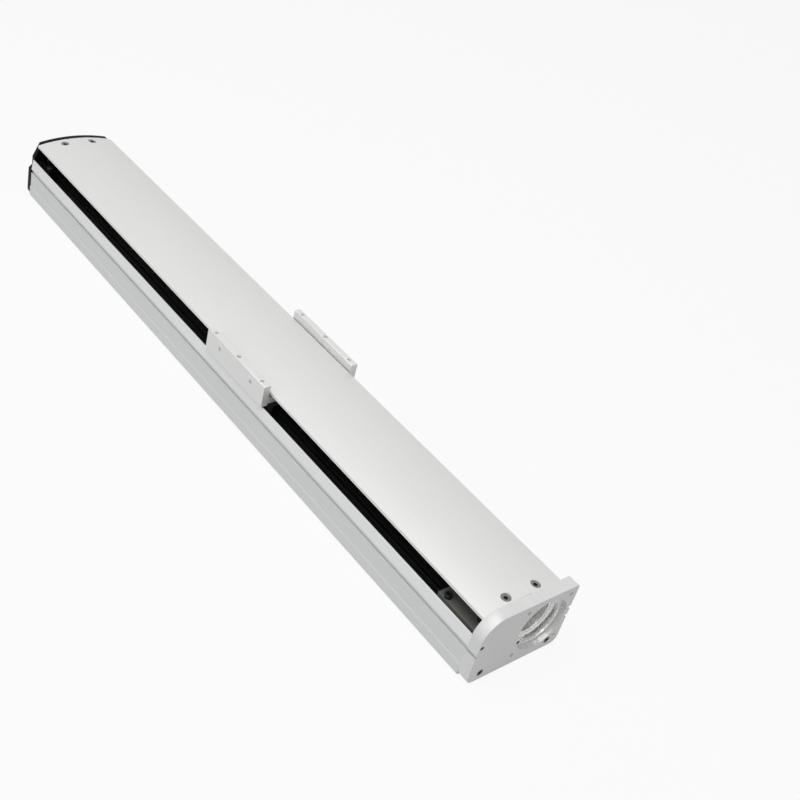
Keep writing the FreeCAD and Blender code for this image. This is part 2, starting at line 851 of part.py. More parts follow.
# Bearings on the drive line
def bearing(name, start):
    """One ball bearing: its outer ring, inner ring and balls."""
    at = (start, *drive_axis)
    middle = (start + mm.bearing_width / 2, *drive_axis)
    outer_bore = mm.bearing_ball_circle + mm.bearing_ring_gap / 2
    inner_land = mm.bearing_ball_circle - mm.bearing_ring_gap / 2
    outer_track_radius = mm.bearing_ball_radius + mm.running_gap
    inner_track_radius = mm.bearing_ball_radius + mm.fit_clearance
    outer_track = ball_track(f"{name}_outer_track", middle, mm.bearing_ball_circle, outer_track_radius)
    inner_track = ball_track(f"{name}_inner_track", middle, mm.bearing_ball_circle, inner_track_radius)
    outer = ring(f"{name}_outer_blank", at, mm.bearing_radius, outer_bore, mm.bearing_width)
    inner_bore = mm.journal_radius + mm.fit_clearance
    inner = ring(f"{name}_inner_blank", at, inner_land, inner_bore, mm.bearing_width)
    balls = [
        ball(f"{name}_ball", (middle[0], y, z), mm.bearing_ball_radius)
        for y, z in around_drive(mm.bearing_ball_circle, BEARING_BALLS, 0)
    ]
    return cut(f"{name}_outer", outer, [outer_track]), cut(f"{name}_inner", inner, [inner_track]), balls


def make_bearings():
    """A fixed pair at the motor end and a support bearing at the far end."""
    first = bearing("first_bearing", bearing_start)
    second = bearing("second_bearing", bearing_start + mm.bearing_width)
    far = bearing("far_bearing", far_bearing_start)
    finish(group("fixed_outer_set", [first[0], second[0]]), "fixed_bearing_outer_rings")
    finish(group("fixed_inner_set", [first[1], second[1]]), "fixed_bearing_inner_rings")
    finish(group("fixed_ball_set", first[2] + second[2]), "fixed_bearing_balls")
    finish(far[0], "far_bearing_outer_ring")
    finish(far[1], "far_bearing_inner_ring")
    finish(group("far_ball_set", far[2]), "far_bearing_balls")


def make_bearing_hardware():
    """What holds the bearings: a retainer and its screws, a collar, a lock nut and two clips."""
    face = (bridge_start, *drive_axis)
    disc = ring("retainer_disc", face, mm.retainer_radius, mm.retainer_bore, mm.retainer_thickness)
    flats = box(
        "retainer_flats",
        (bridge_start, bridge_start + mm.retainer_thickness),
        (drive_offset - mm.retainer_half_width, drive_offset + mm.retainer_half_width),
        (drive_height - mm.retainer_radius, drive_height + mm.retainer_radius),
    )
    plate = common("retainer_plate", disc, flats)
    bolt_points = around_drive(mm.retainer_bolt_circle, 4, math.pi / 4)
    hole_radius = mm.nut_bolt_radius + mm.hole_clearance
    holes = [
        rod("retainer_hole", "x", (bridge_start, y, z), hole_radius, mm.retainer_thickness)
        for y, z in bolt_points
    ]
    finish(cut("retainer", plate, holes), "bearing_retainer")
    seat = bridge_start + mm.retainer_thickness
    length = mm.retainer_thickness + mm.bearing_width
    screws = [
        cap_screw("retainer_screw", "x", (seat, y, z), mm.nut_bolt_radius, length)
        for y, z in bolt_points
    ]
    finish(group("retainer_screw_set", screws), "retainer_screws")
    bore = mm.journal_radius + mm.fit_clearance
    finish(ring("collar", face, mm.collar_radius, bore, mm.collar_length), "bearing_collar")
    nut_at = bridge_start + mm.collar_length
    blank = ring("locknut_blank", (nut_at, *drive_axis), mm.locknut_radius, bore, mm.locknut_length)
    slots = []
    slot_x = (nut_at, nut_at + mm.locknut_length)
    half_slot = mm.locknut_slot / 2
    for y, z in around_drive(mm.locknut_radius, 4, 0):
        slot_y = (y - half_slot, y + half_slot)
        slot_z = (z - half_slot, z + half_slot)
        slots.append(box("locknut_slot", slot_x, slot_y, slot_z))
    finish(cut("locknut", blank, slots), "bearing_locknut")
    clip_at = (far_bearing_start - mm.clip_thickness, *drive_axis)
    clip = ring("bore_clip", clip_at, mm.bearing_radius, mm.bearing_radius - mm.clip_width, mm.clip_thickness)
    finish(clip, "far_bearing_clip")
    clip = ring("shaft_clip", clip_at, mm.journal_radius + mm.clip_width, bore, mm.clip_thickness)
    finish(clip, "far_shaft_clip")


# Ball screw and nut
def make_screw():
    """The screw shaft: journals, shoulders, threaded length and coupling end."""
    far_end = far_bearing_start - mm.clip_thickness * 2
    far_shoulder = far_bearing_start + mm.bearing_width
    thread_start = far_housing_end + mm.thread_run_out
    thread_end = housing_start - mm.thread_run_out
    journal_end = bridge_start + mm.collar_length + mm.locknut_length
    stretches = [
        (far_end, far_shoulder, mm.journal_radius),
        (far_shoulder, thread_start, mm.shoulder_radius),
        (thread_start, thread_end, mm.screw_radius),
        (thread_end, bearing_start, mm.shoulder_radius),
        (bearing_start, journal_end, mm.journal_radius),
        (journal_end, journal_end + mm.shaft_end_length, mm.shaft_end_radius),
    ]
    pieces = [
        rod("screw_stretch", "x", (start, *drive_axis), radius, end - start)
        for start, end, radius in stretches
    ]
    finish(joined("screw_shaft", pieces), "ball_screw")


def make_nut():
    """The flanged ball nut with its balls, wipers and screws; its flange is cut flat all round."""
    body = rod("nut_body", "x", (nut_start, *drive_axis), mm.nut_radius, mm.nut_body_length)
    disc = rod("nut_disc", "x", (bracket_end, *drive_axis), mm.nut_flange_radius, mm.nut_flange_thickness)
    flats = box(
        "nut_flats",
        (bracket_end, nut_end),
        (drive_offset - mm.bracket_half_width, drive_offset + mm.bracket_half_width),
        (drive_height - mm.nut_flange_flat, drive_height + mm.nut_flange_flat),
    )
    blank = joined("nut_blank", [body, common("nut_flange", disc, flats)])
    ball_circle = mm.screw_radius + mm.running_gap + mm.nut_ball_radius
    race_radius = ball_circle + mm.nut_ball_radius + mm.nut_race_wall
    race_start = nut_start + mm.nut_ball_start - mm.nut_ball_radius * 2
    bolt_points = around_drive(mm.nut_bolt_circle, 4, math.pi / 4)
    full_length = mm.nut_body_length + mm.nut_flange_thickness
    holes = [
        rod("nut_bore", "x", (nut_start, *drive_axis), mm.screw_radius + mm.running_gap, full_length),
        rod("nut_race", "x", (race_start, *drive_axis), race_radius, mm.nut_race_length),
    ]
    hole_radius = mm.nut_bolt_radius + mm.hole_clearance
    for y, z in bolt_points:
        holes.append(rod("nut_bolt_hole", "x", (bracket_end, y, z), hole_radius, mm.nut_flange_thickness))
    finish(cut("nut", blank, holes), "ball_nut")
    balls = []
    for number in range(NUT_BALLS):
        turns = number / NUT_BALLS_PER_TURN
        angle = 2 * math.pi * turns
        at = (
            nut_start + mm.nut_ball_start + mm.screw_lead * turns,
            drive_offset + ball_circle * math.cos(angle),
            drive_height + ball_circle * math.sin(angle),
        )
        balls.append(ball("nut_ball", at, mm.nut_ball_radius))
    finish(group("nut_ball_set", balls), "nut_balls")
    wiper_bore = mm.screw_radius + mm.running_gap
    wipers = [
        ring("nut_wiper", (x, *drive_axis), mm.wiper_radius, wiper_bore, mm.wiper_thickness)
        for x in (nut_start - mm.wiper_thickness, nut_end)
    ]
    finish(group("nut_wiper_set", wipers), "nut_wipers")
    screws = [
        cap_screw("nut_screw", "x", (nut_end, y, z), mm.nut_bolt_radius, mm.nut_bolt_length)
        for y, z in bolt_points
    ]
    finish(group("nut_screw_set", screws), "nut_screws")


def make_bracket():
    """The block that hangs under the table and holds the nut."""
    block = box(
        "bracket_block",
        (bracket_end - mm.bracket_length, bracket_end),
        (drive_offset - mm.bracket_half_width, drive_offset + mm.bracket_half_width),
        (drive_height - mm.bracket_drop, table_bottom),
    )
    bore_at = (bracket_end - mm.bracket_length, *drive_axis)
    holes = [rod("bracket_bore", "x", bore_at, mm.nut_radius + mm.fit_clearance, mm.bracket_length)]
    depth = mm.nut_bolt_length - mm.nut_flange_thickness + mm.hole_clearance
    for y, z in around_drive(mm.nut_bolt_circle, 4, math.pi / 4):
        at = (bracket_end - depth, y, z)
        holes.append(rod("bracket_nut_thread", "x", at, mm.nut_bolt_radius + mm.fit_clearance, depth))
    depth = mm.table_bolt_length - mm.table_bolt_grip + mm.hole_clearance
    for x, y in bracket_bolt_places():
        at = (x, y, table_bottom - depth)
        holes.append(rod("bracket_thread", "z", at, mm.table_bolt_radius + mm.fit_clearance, depth))
    finish(cut("bracket", block, holes), "nut_bracket")


# Guide
def make_rail():
    """The wide guide rail with its ball grooves and two rows of sunk screws."""
    rail = box(
        "rail_bar",
        (rail_start, rail_end),
        (guide_middle - mm.rail_width / 2, guide_middle + mm.rail_width / 2),
        (seat_height, rail_top),
    )
    groove_radius = mm.guide_ball_radius + mm.running_gap
    tools = []
    for side in SIDES:
        at = (rail_start, guide_middle + side * mm.rail_width / 2, seat_height + mm.rail_groove_height)
        tools.append(rod("rail_groove", "x", at, groove_radius, rail_end - rail_start))
    head_height = mm.rail_screw_radius * HEAD_HEIGHT_SHARE
    head_radius = mm.rail_screw_radius * HEAD_RADIUS_SHARE + mm.hole_clearance
    hole_radius = mm.rail_screw_radius + mm.hole_clearance
    screws = []
    for x, y in rail_screw_places():
        seat = rail_top - head_height - mm.hole_clearance
        tools.append(rod("rail_hole", "z", (x, y, seat_height), hole_radius, mm.rail_height))
        tools.append(rod("rail_sink", "z", (x, y, seat), head_radius, head_height + mm.hole_clearance))
        screws.append(cap_screw("rail_screw", "z", (x, y, seat), mm.rail_screw_radius, mm.rail_screw_length))
    finish(cut("rail", rail, tools), "guide_rail")
    finish(group("rail_screw_set", screws), "rail_screws")


def saddle(name, x, half, bottom, top, slot_half, slot_top):
    """A block that rides over the rail: an upside-down channel."""
    points = [
        (guide_middle - half, bottom),
        (guide_middle - slot_half, bottom),
        (guide_middle - slot_half, slot_top),
        (guide_middle + slot_half, slot_top),
        (guide_middle + slot_half, bottom),
        (guide_middle + half, bottom),
        (guide_middle + half, top),
        (guide_middle - half, top),
    ]
    return profile(name, points, x)


def make_guide_blocks():
    """Two guide blocks with end caps, end seals, balls and grease nipples."""
    bottom = seat_height + mm.guide_block_lift
    half = mm.guide_block_width / 2
    slot_half = mm.rail_width / 2 + mm.running_gap
    slot_top = rail_top + mm.running_gap
    caps = []
    seals = []
    balls = []
    nipples = []
    ball_height = seat_height + mm.rail_groove_height
    for name, middle in guide_block_middles():
        start = middle - mm.guide_block_length / 2
        end = middle + mm.guide_block_length / 2
        sizes = (half, bottom, table_bottom, slot_half, slot_top)
        blank = saddle(f"{name}_block_profile", (start, end), *sizes)
        tools = []
        for side in SIDES:
            y = guide_middle + side * mm.rail_width / 2
            track = mm.guide_ball_radius + mm.fit_clearance
            tools.append(rod("block_track", "x", (start, y, ball_height), track, mm.guide_block_length))
            for number in range(GUIDE_BALLS_PER_ROW):
                x = middle + (number - (GUIDE_BALLS_PER_ROW - 1) / 2) * mm.guide_ball_pitch
                balls.append(ball("guide_ball", (x, y, ball_height), mm.guide_ball_radius))
        depth = mm.table_bolt_length - mm.table_bolt_grip + mm.hole_clearance
        for x, y in guide_bolt_places():
            if start.number < x.number < end.number:
                at = (x, y, table_bottom - depth)
                tools.append(rod("block_thread", "z", at, mm.table_bolt_radius + mm.fit_clearance, depth))
        finish(cut(f"{name}_block", blank, tools), f"{name}_guide_block")
        cap_half = half - mm.guide_cap_inset
        cap_top = table_bottom - mm.guide_cap_inset
        for x, towards in ((start, -1), (end, 1)):
            cap_end = x + towards * mm.guide_cap_length
            seal_end = cap_end + towards * mm.guide_seal_thickness
            cap_x = (x, cap_end) if towards > 0 else (cap_end, x)
            seal_x = (cap_end, seal_end) if towards > 0 else (seal_end, cap_end)
            caps.append(saddle("guide_cap", cap_x, cap_half, bottom, cap_top, slot_half, slot_top))
            seal_half = cap_half - mm.guide_cap_inset
            seal_top = cap_top - mm.guide_cap_inset
            seals.append(saddle("guide_seal", seal_x, seal_half, bottom, seal_top, slot_half, slot_top))
        outward = 1 if name == "front" else -1
        face = middle + outward * (mm.guide_block_length / 2 + mm.guide_cap_length + mm.guide_seal_thickness)
        nipple_start = face if outward > 0 else face - mm.nipple_length
        nipple_at = (nipple_start, guide_middle, table_bottom - mm.nipple_drop)
        nipples.append(rod("nipple", "x", nipple_at, mm.nipple_radius, mm.nipple_length))
    finish(group("guide_cap_set", caps), "guide_end_caps")
    finish(group("guide_seal_set", seals), "guide_end_seals")
    finish(group("guide_ball_set", balls), "guide_balls")
    finish(group("nipple_set", nipples), "grease_nipples")


# Carriage
def make_table():
    """The carriage table: a plate under the cover with an ear up each side of it."""
    points = [
        (-ear_outer, ear_bottom),
        (-ear_inner, ear_bottom),
        (-ear_inner, table_bottom),
        (ear_inner, table_bottom),
        (ear_inner, ear_bottom),
        (ear_outer, ear_bottom),
        (ear_outer, ear_top),
        (ear_inner, ear_top),
        (ear_inner, table_top),
        (-ear_inner, table_top),
        (-ear_inner, ear_top),
        (-ear_outer, ear_top),
    ]
    x = (mm.carriage_position - mm.carriage_length / 2, mm.carriage_position + mm.carriage_length / 2)
    body = profile("table_profile", points, x)
    top_edges = [(side * y, ear_top) for side in SIDES for y in (ear_inner, ear_outer)]
    round_corners(body, top_edges, mm.ear_edge_round)
    holes = []
    for side in SIDES:
        for along in SIDES:
            x = mm.carriage_position + along * mm.ear_hole_pitch / 2
            at = (x, side * ear_middle, ear_top - mm.ear_hole_depth)
            holes.append(rod("ear_hole", "z", at, mm.ear_hole_radius, mm.ear_hole_depth))
            start = -ear_outer if side < 0 else ear_outer - mm.side_hole_depth
            at = (mm.carriage_position + along * mm.side_hole_pitch / 2, start, mm.side_hole_height)
            holes.append(rod("side_hole", "y", at, mm.side_hole_radius, mm.side_hole_depth))
        at = (mm.carriage_position, side * ear_middle, ear_top - mm.dowel_hole_depth)
        holes.append(rod("dowel_hole", "z", at, mm.dowel_hole_radius, mm.dowel_hole_depth))
    hole_radius = mm.table_bolt_radius + mm.hole_clearance
    head_radius = mm.table_bolt_radius * HEAD_RADIUS_SHARE + mm.hole_clearance
    for x, y in guide_bolt_places() + bracket_bolt_places():
        hole_at = (x, y, table_bottom)
        sink_at = (x, y, table_bottom + mm.table_bolt_grip)
        holes.append(rod("table_hole", "z", hole_at, hole_radius, mm.table_thickness))
        holes.append(rod("table_sink", "z", sink_at, head_radius, mm.table_thickness - mm.table_bolt_grip))
    finish(cut("table", body, holes), "carriage_table")


def make_table_screws():
    """Socket head screws that hold the table on the guide blocks and on the nut bracket."""
    seat = table_bottom + mm.table_bolt_grip
    sets = {"guide_block_screws": guide_bolt_places(), "nut_bracket_screws": bracket_bolt_places()}
    for label, places in sets.items():
        screws = [
            cap_screw("table_screw", "z", (x, y, seat), mm.table_bolt_radius, mm.table_bolt_length)
            for x, y in places
        ]
        finish(group(f"{label}_set", screws), label)


# Cover, far end plate and stops
def make_cover():
    """The crowned cover, with two ribs under it that rest on the housings."""
    start = (body_start, 0, crown_centre)
    length = body_end - body_start
    outer = rod("crown_outer", "x", start, crown_radius, length)
    inner = rod("crown_inner", "x", start, crown_radius - mm.cover_thickness, length)
    x = (body_start, body_end)
    y = (-cover_width / 2, cover_width / 2)
    z = (cover_rest_height - mm.cover_thickness, cover_top + mm.cover_thickness)
    slab = box("cover_slab", x, y, z)
    shell = common("cover_shell", cut("crown_shell", outer, [inner]), slab)
    ribs = []
    for side in SIDES:
        middle = side * mm.cover_screw_spread / 2
        rib_y = (middle - mm.cover_rib_width / 2, middle + mm.cover_rib_width / 2)
        ribs.append(box("cover_rib", x, rib_y, (cover_rest_height, cover_top - mm.cover_thickness)))
    rib_limit = rod("crown_middle", "x", start, crown_radius - mm.cover_thickness / 2, length)
    rib_pair = common("cover_ribs", joined("cover_rib_bars", ribs), rib_limit)
    head_top = cover_top - mm.cover_head_sink
    head_radius = mm.cover_screw_radius * SUNK_HEAD_SHARE
    head_height = head_radius - mm.cover_screw_radius
    sink_radius = head_radius + mm.hole_clearance
    holes = []
    screws = []
    for place_x, place_y in cover_screw_places():
        top = (place_x, place_y, head_top)
        cone_at = shifted(top, "z", -head_height)
        hole_radius = mm.cover_screw_radius + mm.hole_clearance
        full = cover_top - cover_rest_height
        holes.append(rod("cover_hole", "z", (place_x, place_y, cover_rest_height), hole_radius, full))
        holes.append(taper("cover_sink", "z", cone_at, hole_radius, sink_radius, head_height))
        holes.append(rod("cover_sink_top", "z", top, sink_radius, mm.cover_head_sink))
        length_below = head_top - cover_rest_height + mm.cover_screw_length - mm.hole_clearance
        screws.append(countersunk_screw("cover_screw", "z", top, mm.cover_screw_radius, length_below))
    finish(cut("cover", joined("cover_blank", [shell, rib_pair]), holes), "top_cover")
    finish(group("cover_screw_set", screws), "cover_screws")


def make_end_plate():
    """The end plate, which closes the far end inside the lips and under the cover's crown."""
    shoulder = half_width - mm.end_plate_step_inset
    corner = cover_width / 2 - mm.end_plate_corner_inset
    right = [
        (half_width, 0),
        (half_width, end_plate_step_height),
        (shoulder, end_plate_step_height + mm.end_plate_step_inset),
        (shoulder, end_plate_shoulder_height),
        (corner, cover_top - mm.cover_drop),
        (corner, cover_top + mm.cover_drop),
    ]
    x = (-half_length, body_start)
    body = profile("end_plate_profile", mirrored(right), x)
    round_corners(body, [(half_width, 0), (-half_width, 0)], mm.end_bottom_corner)
    crown = rod("end_plate_crown", "x", (-half_length, 0, crown_centre), crown_radius, mm.end_plate_thickness)
    blank = common("end_plate_blank", body, crown)
    holes = []
    screws = []
    for y, z, radius in plate_screw_places():
        at = (-half_length, y, z)
        head_radius = radius * SUNK_HEAD_SHARE
        hole_radius = radius + mm.hole_clearance
        sink_radius = head_radius + mm.hole_clearance
        holes.append(rod("plate_hole", "x", at, hole_radius, mm.end_plate_thickness))
        holes.append(taper("plate_sink", "x", at, sink_radius, hole_radius, head_radius - radius))
        screws.append(countersunk_screw("plate_screw", "x", at, radius, mm.plate_screw_length, side=-1))
    finish(cut("end_plate_plate", blank, holes), "end_plate")
    finish(group("plate_screw_set", screws), "end_plate_screws")


def make_bumpers():
    """Rubber stops at both ends of the stroke, each on a screw."""
    bumpers = []
    screws = []
    for x, y, towards in bumper_places():
        foot = (x, y, bumper_height)
        seat = shifted(foot, "x", towards * (mm.bumper_length - mm.bumper_recess))
        start = foot if towards > 0 else shifted(foot, "x", -mm.bumper_length)
        recess = seat if towards > 0 else shifted(seat, "x", -mm.bumper_recess)
        blank = rod("bumper_blank", "x", start, mm.bumper_radius, mm.bumper_length)
        hole = rod("bumper_hole", "x", start, mm.bumper_screw_radius + mm.hole_clearance, mm.bumper_length)
        recess_radius = mm.bumper_screw_radius * HEAD_RADIUS_SHARE + mm.hole_clearance
        sink = rod("bumper_sink", "x", recess, recess_radius, mm.bumper_recess)
        bumpers.append(cut("bumper", blank, [hole, sink]))
        length = mm.bumper_length - mm.bumper_recess + mm.bumper_screw_length
        screws.append(cap_screw("bumper_screw", "x", seat, mm.bumper_screw_radius, length, towards))
    finish(group("bumper_set", bumpers), "stop_bumpers")
    finish(group("bumper_screw_set", screws), "bumper_screws")


def check_model():
    """Stop if any object failed or any sub-part is not a sound solid."""
    for item in document.Objects:
        if {"Invalid", "Error"} & set(item.State):
            raise RuntimeError(f"{item.Name} failed: {item.State}")
    for item in subparts:
        if item.Shape.isNull() or not item.Shape.isValid() or not item.Shape.Solids:
            raise RuntimeError(f"{item.Label} is not a sound solid")


make_base()
make_liners()
make_end_block()
make_drive_housing()
make_far_housing()
make_housing_screws()
make_bearings()
make_bearing_hardware()
make_screw()
make_nut()
make_bracket()
make_rail()
make_guide_blocks()
make_table()
make_table_screws()
make_cover()
make_end_plate()
make_bumpers()
document.recompute()
check_model()
os.makedirs("parts", exist_ok=True)
for item in subparts:
    item.Shape.exportStep(f"parts/{item.Label}.step")
    print(item.Label, len(item.Shape.Solids), round(item.Shape.Volume, 1))
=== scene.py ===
"""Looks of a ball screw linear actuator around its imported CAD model. Sizes are in metres."""

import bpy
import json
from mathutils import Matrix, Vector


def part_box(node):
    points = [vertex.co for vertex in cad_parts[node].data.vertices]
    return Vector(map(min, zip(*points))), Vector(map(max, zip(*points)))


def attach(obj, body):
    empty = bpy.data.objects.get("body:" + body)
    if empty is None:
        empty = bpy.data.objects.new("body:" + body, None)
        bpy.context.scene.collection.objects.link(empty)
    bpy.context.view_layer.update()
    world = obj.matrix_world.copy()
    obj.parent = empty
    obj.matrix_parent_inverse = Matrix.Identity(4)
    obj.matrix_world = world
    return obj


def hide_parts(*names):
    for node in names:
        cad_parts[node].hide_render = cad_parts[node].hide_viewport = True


bl_info = {
    "name": "Ball screw actuator looks",
    "version": (1, 0, 0),
    "blender": (4, 5, 0),
    "location": "3D View > Sidebar > Actuator",
    "description": "Finishes, screw thread, small turned pieces and studio of a ball screw actuator",
    "category": "Object",
}

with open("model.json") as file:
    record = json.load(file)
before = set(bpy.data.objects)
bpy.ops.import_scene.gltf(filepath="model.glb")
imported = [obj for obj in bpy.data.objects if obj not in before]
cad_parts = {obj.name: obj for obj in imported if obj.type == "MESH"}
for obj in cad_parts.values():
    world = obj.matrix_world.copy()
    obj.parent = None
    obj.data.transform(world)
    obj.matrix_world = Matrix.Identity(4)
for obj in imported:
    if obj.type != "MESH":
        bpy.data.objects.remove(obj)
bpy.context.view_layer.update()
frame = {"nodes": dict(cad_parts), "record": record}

import json
import math

import bmesh
import bpy
from mathutils import Quaternion, Vector

MILLIMETRE = 0.001
NODES = frame["nodes"]
SLOT_OF_NODE = {entry["node"]: entry["material_slot"] for entry in frame["record"]["subparts"]}
MOUNT_SIZES = {mount["name"]: mount["dims"] for mount in frame["record"]["mounts"]}
COUPLING = frame["record"]["behaviour"]["couplings"][0]


def middle_of(box):
    """Where the axis of a round piece along X runs: its Y and Z."""
    low, high = box
    return ((low.y + high.y) / 2, (low.z + high.z) / 2)


def radius_of(box):
    """The radius of a round piece along X."""
    low, high = box
    return (high.z - low.z) / 2


# How far the slide goes in one turn of the screw, to a thousandth of a millimetre, and the screw's shaft end
LEAD = round(2 * math.pi / abs(COUPLING["ratio"]), 6)
SHAFT_END_RADIUS = MOUNT_SIZES["screw_shaft_end"]["r_mm"] * MILLIMETRE

# The drive line, and the bores around it in the end block and its housing that are bare metal.
# Each reaches a little past the bore's own wall and end, so that both are bare.
DRIVE_LINE = middle_of(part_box("ball_screw"))
WALL_MARGIN = 0.0002
END_MARGIN = 0.0005
BLOCK_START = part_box("motor_end_block")[0].x
MOUTH_START = BLOCK_START - END_MARGIN
CHAMBER_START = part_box("bearing_retainer")[0].x - END_MARGIN
PILOT_RADIUS = MOUNT_SIZES["motor_pilot"]["r_mm"] * MILLIMETRE + WALL_MARGIN
OPENING_RADIUS = 0.028 + WALL_MARGIN
CHAMBER_RADIUS = 0.024 + WALL_MARGIN
BARE_METAL = (0.66, 0.66, 0.65)
# The opening's bare metal is also painted light for its lit wall, and the chamber's metal is painted shade
# for its depth
OPENING_METAL_PAINTED_LIGHT = (0.92, 0.92, 0.91)
CHAMBER_PAINTED_SHADE = (0.58, 0.58, 0.57)
HOUSING_BORES = (
    (CHAMBER_RADIUS, CHAMBER_START, CHAMBER_PAINTED_SHADE),
    (OPENING_RADIUS, MOUTH_START, OPENING_METAL_PAINTED_LIGHT),
)

# The height of a cover screw's rim, below which its socket gets a painted shadow within a short depth
PAINTED_SHADOW_BLEND = 0.0004
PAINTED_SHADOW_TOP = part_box("cover_screws")[1].z - PAINTED_SHADOW_BLEND

# Where the painted highlight on the base's lip starts, how soon it is full and how much lighter it paints the
# lip
PAINTED_LIP_LIGHT_HEIGHT = 0.044
PAINTED_LIP_LIGHT_BLEND = 0.0006
PAINTED_LIP_LIGHT_GAIN = 0.19

# The arcs of the face cutter on the end block: where their middle lies, how close they are, how they waver
CUTTER_SHIFT = (0, 0.02, 0.13)
CUTTER_ARCS = {"Scale": 260, "Distortion": 0.6}

# Colours that show beside the base colours: painted highlights and real wear on edges, painted shadow in
# sockets, bloom and tarnish
SATIN_PAINTED_EDGE_HIGHLIGHT = (0.82, 0.83, 0.83)
MILLED_PAINTED_EDGE_HIGHLIGHT = (0.80, 0.82, 0.83)
WORN_COAT = (0.34, 0.34, 0.35)
PAINTED_SOCKET_SHADOW = (0.1, 0.1, 0.1)
RUBBED_OXIDE = (0.3, 0.3, 0.3)
RUBBER_BLOOM = (0.09, 0.09, 0.085)
BRASS_TARNISH = (0.22, 0.15, 0.07)

# The studio: the floor's half width, its cells, its grey and how far it looks white, then the lamps
FLOOR_REACH = 6
FLOOR_CELLS = 12
FLOOR_GREY = (0.66, 0.66, 0.66)
FLOOR_GLOW = 0.9
WHITE = (1, 1, 1)
KEY_SIZE = 2.2
KEY_PLACE = (0.2, -0.6, 2.5)
SIDE_SIZE = 1.6
SIDE_PLACE = (-0.4, -2.2, 1.1)

# How meshes are put together
AROUND = 48
WELD_DISTANCE = 1e-6
FLAT_ANGLE = math.radians(0.1)
SHARP_ANGLE = math.radians(32)
ROUND_STEPS = 2

# Numbers that Blender's nodes use for the sockets of a colour Mix
MIX_SHARE = 0
MIX_FIRST = 6
MIX_SECOND = 7
MIX_COLOUR = 2


# Shader maths
class Flow:
    """A socket in a node tree; Python's operators on it add Math nodes."""

    def __init__(self, graph, socket):
        self.graph = graph
        self.socket = socket

    def math(self, operation, first, second):
        """One Math node on two values."""
        return self.graph.node("ShaderNodeMath", {"operation": operation}, {0: first, 1: second})

    def __add__(self, other):
        return self.math("ADD", self, other)

    def __radd__(self, other):
        return self.math("ADD", other, self)

    def __sub__(self, other):
        return self.math("SUBTRACT", self, other)

    def __rsub__(self, other):
        return self.math("SUBTRACT", other, self)

    def __mul__(self, other):
        return self.math("MULTIPLY", self, other)

    def __rmul__(self, other):
        return self.math("MULTIPLY", other, self)


class Graph:
    """A node tree that is written from Python."""

    def __init__(self, tree):
        self.tree = tree
        self.tree.nodes.clear()

    def node(self, kind, settings=None, inputs=None, output=0):
        """Add one node, set it up, feed its sockets and return one of its outputs."""
        made = self.tree.nodes.new(kind)
        for name, value in (settings or {}).items():
            if name == "stops":
                for element, (position, shade) in zip(made.color_ramp.elements, value):
                    element.position = position
                    element.color = (shade, shade, shade, 1)
            else:
                setattr(made, name, value)
        for name, value in (inputs or {}).items():
            if isinstance(value, Flow):
                self.tree.links.new(value.socket, made.inputs[name])
            else:
                made.inputs[name].default_value = value
        return Flow(self, made.outputs[output]) if made.outputs else None

    def camera_share(self):
        """1 for rays from the camera, in reflections and through glass, and 0 for rays that light things."""
        rays = [
            self.node("ShaderNodeLightPath", output=name)
            for name in ("Is Camera Ray", "Is Glossy Ray", "Is Transmission Ray")
        ]
        either = rays[0] + rays[1] + rays[2]
        return either.math("MINIMUM", either, 1)


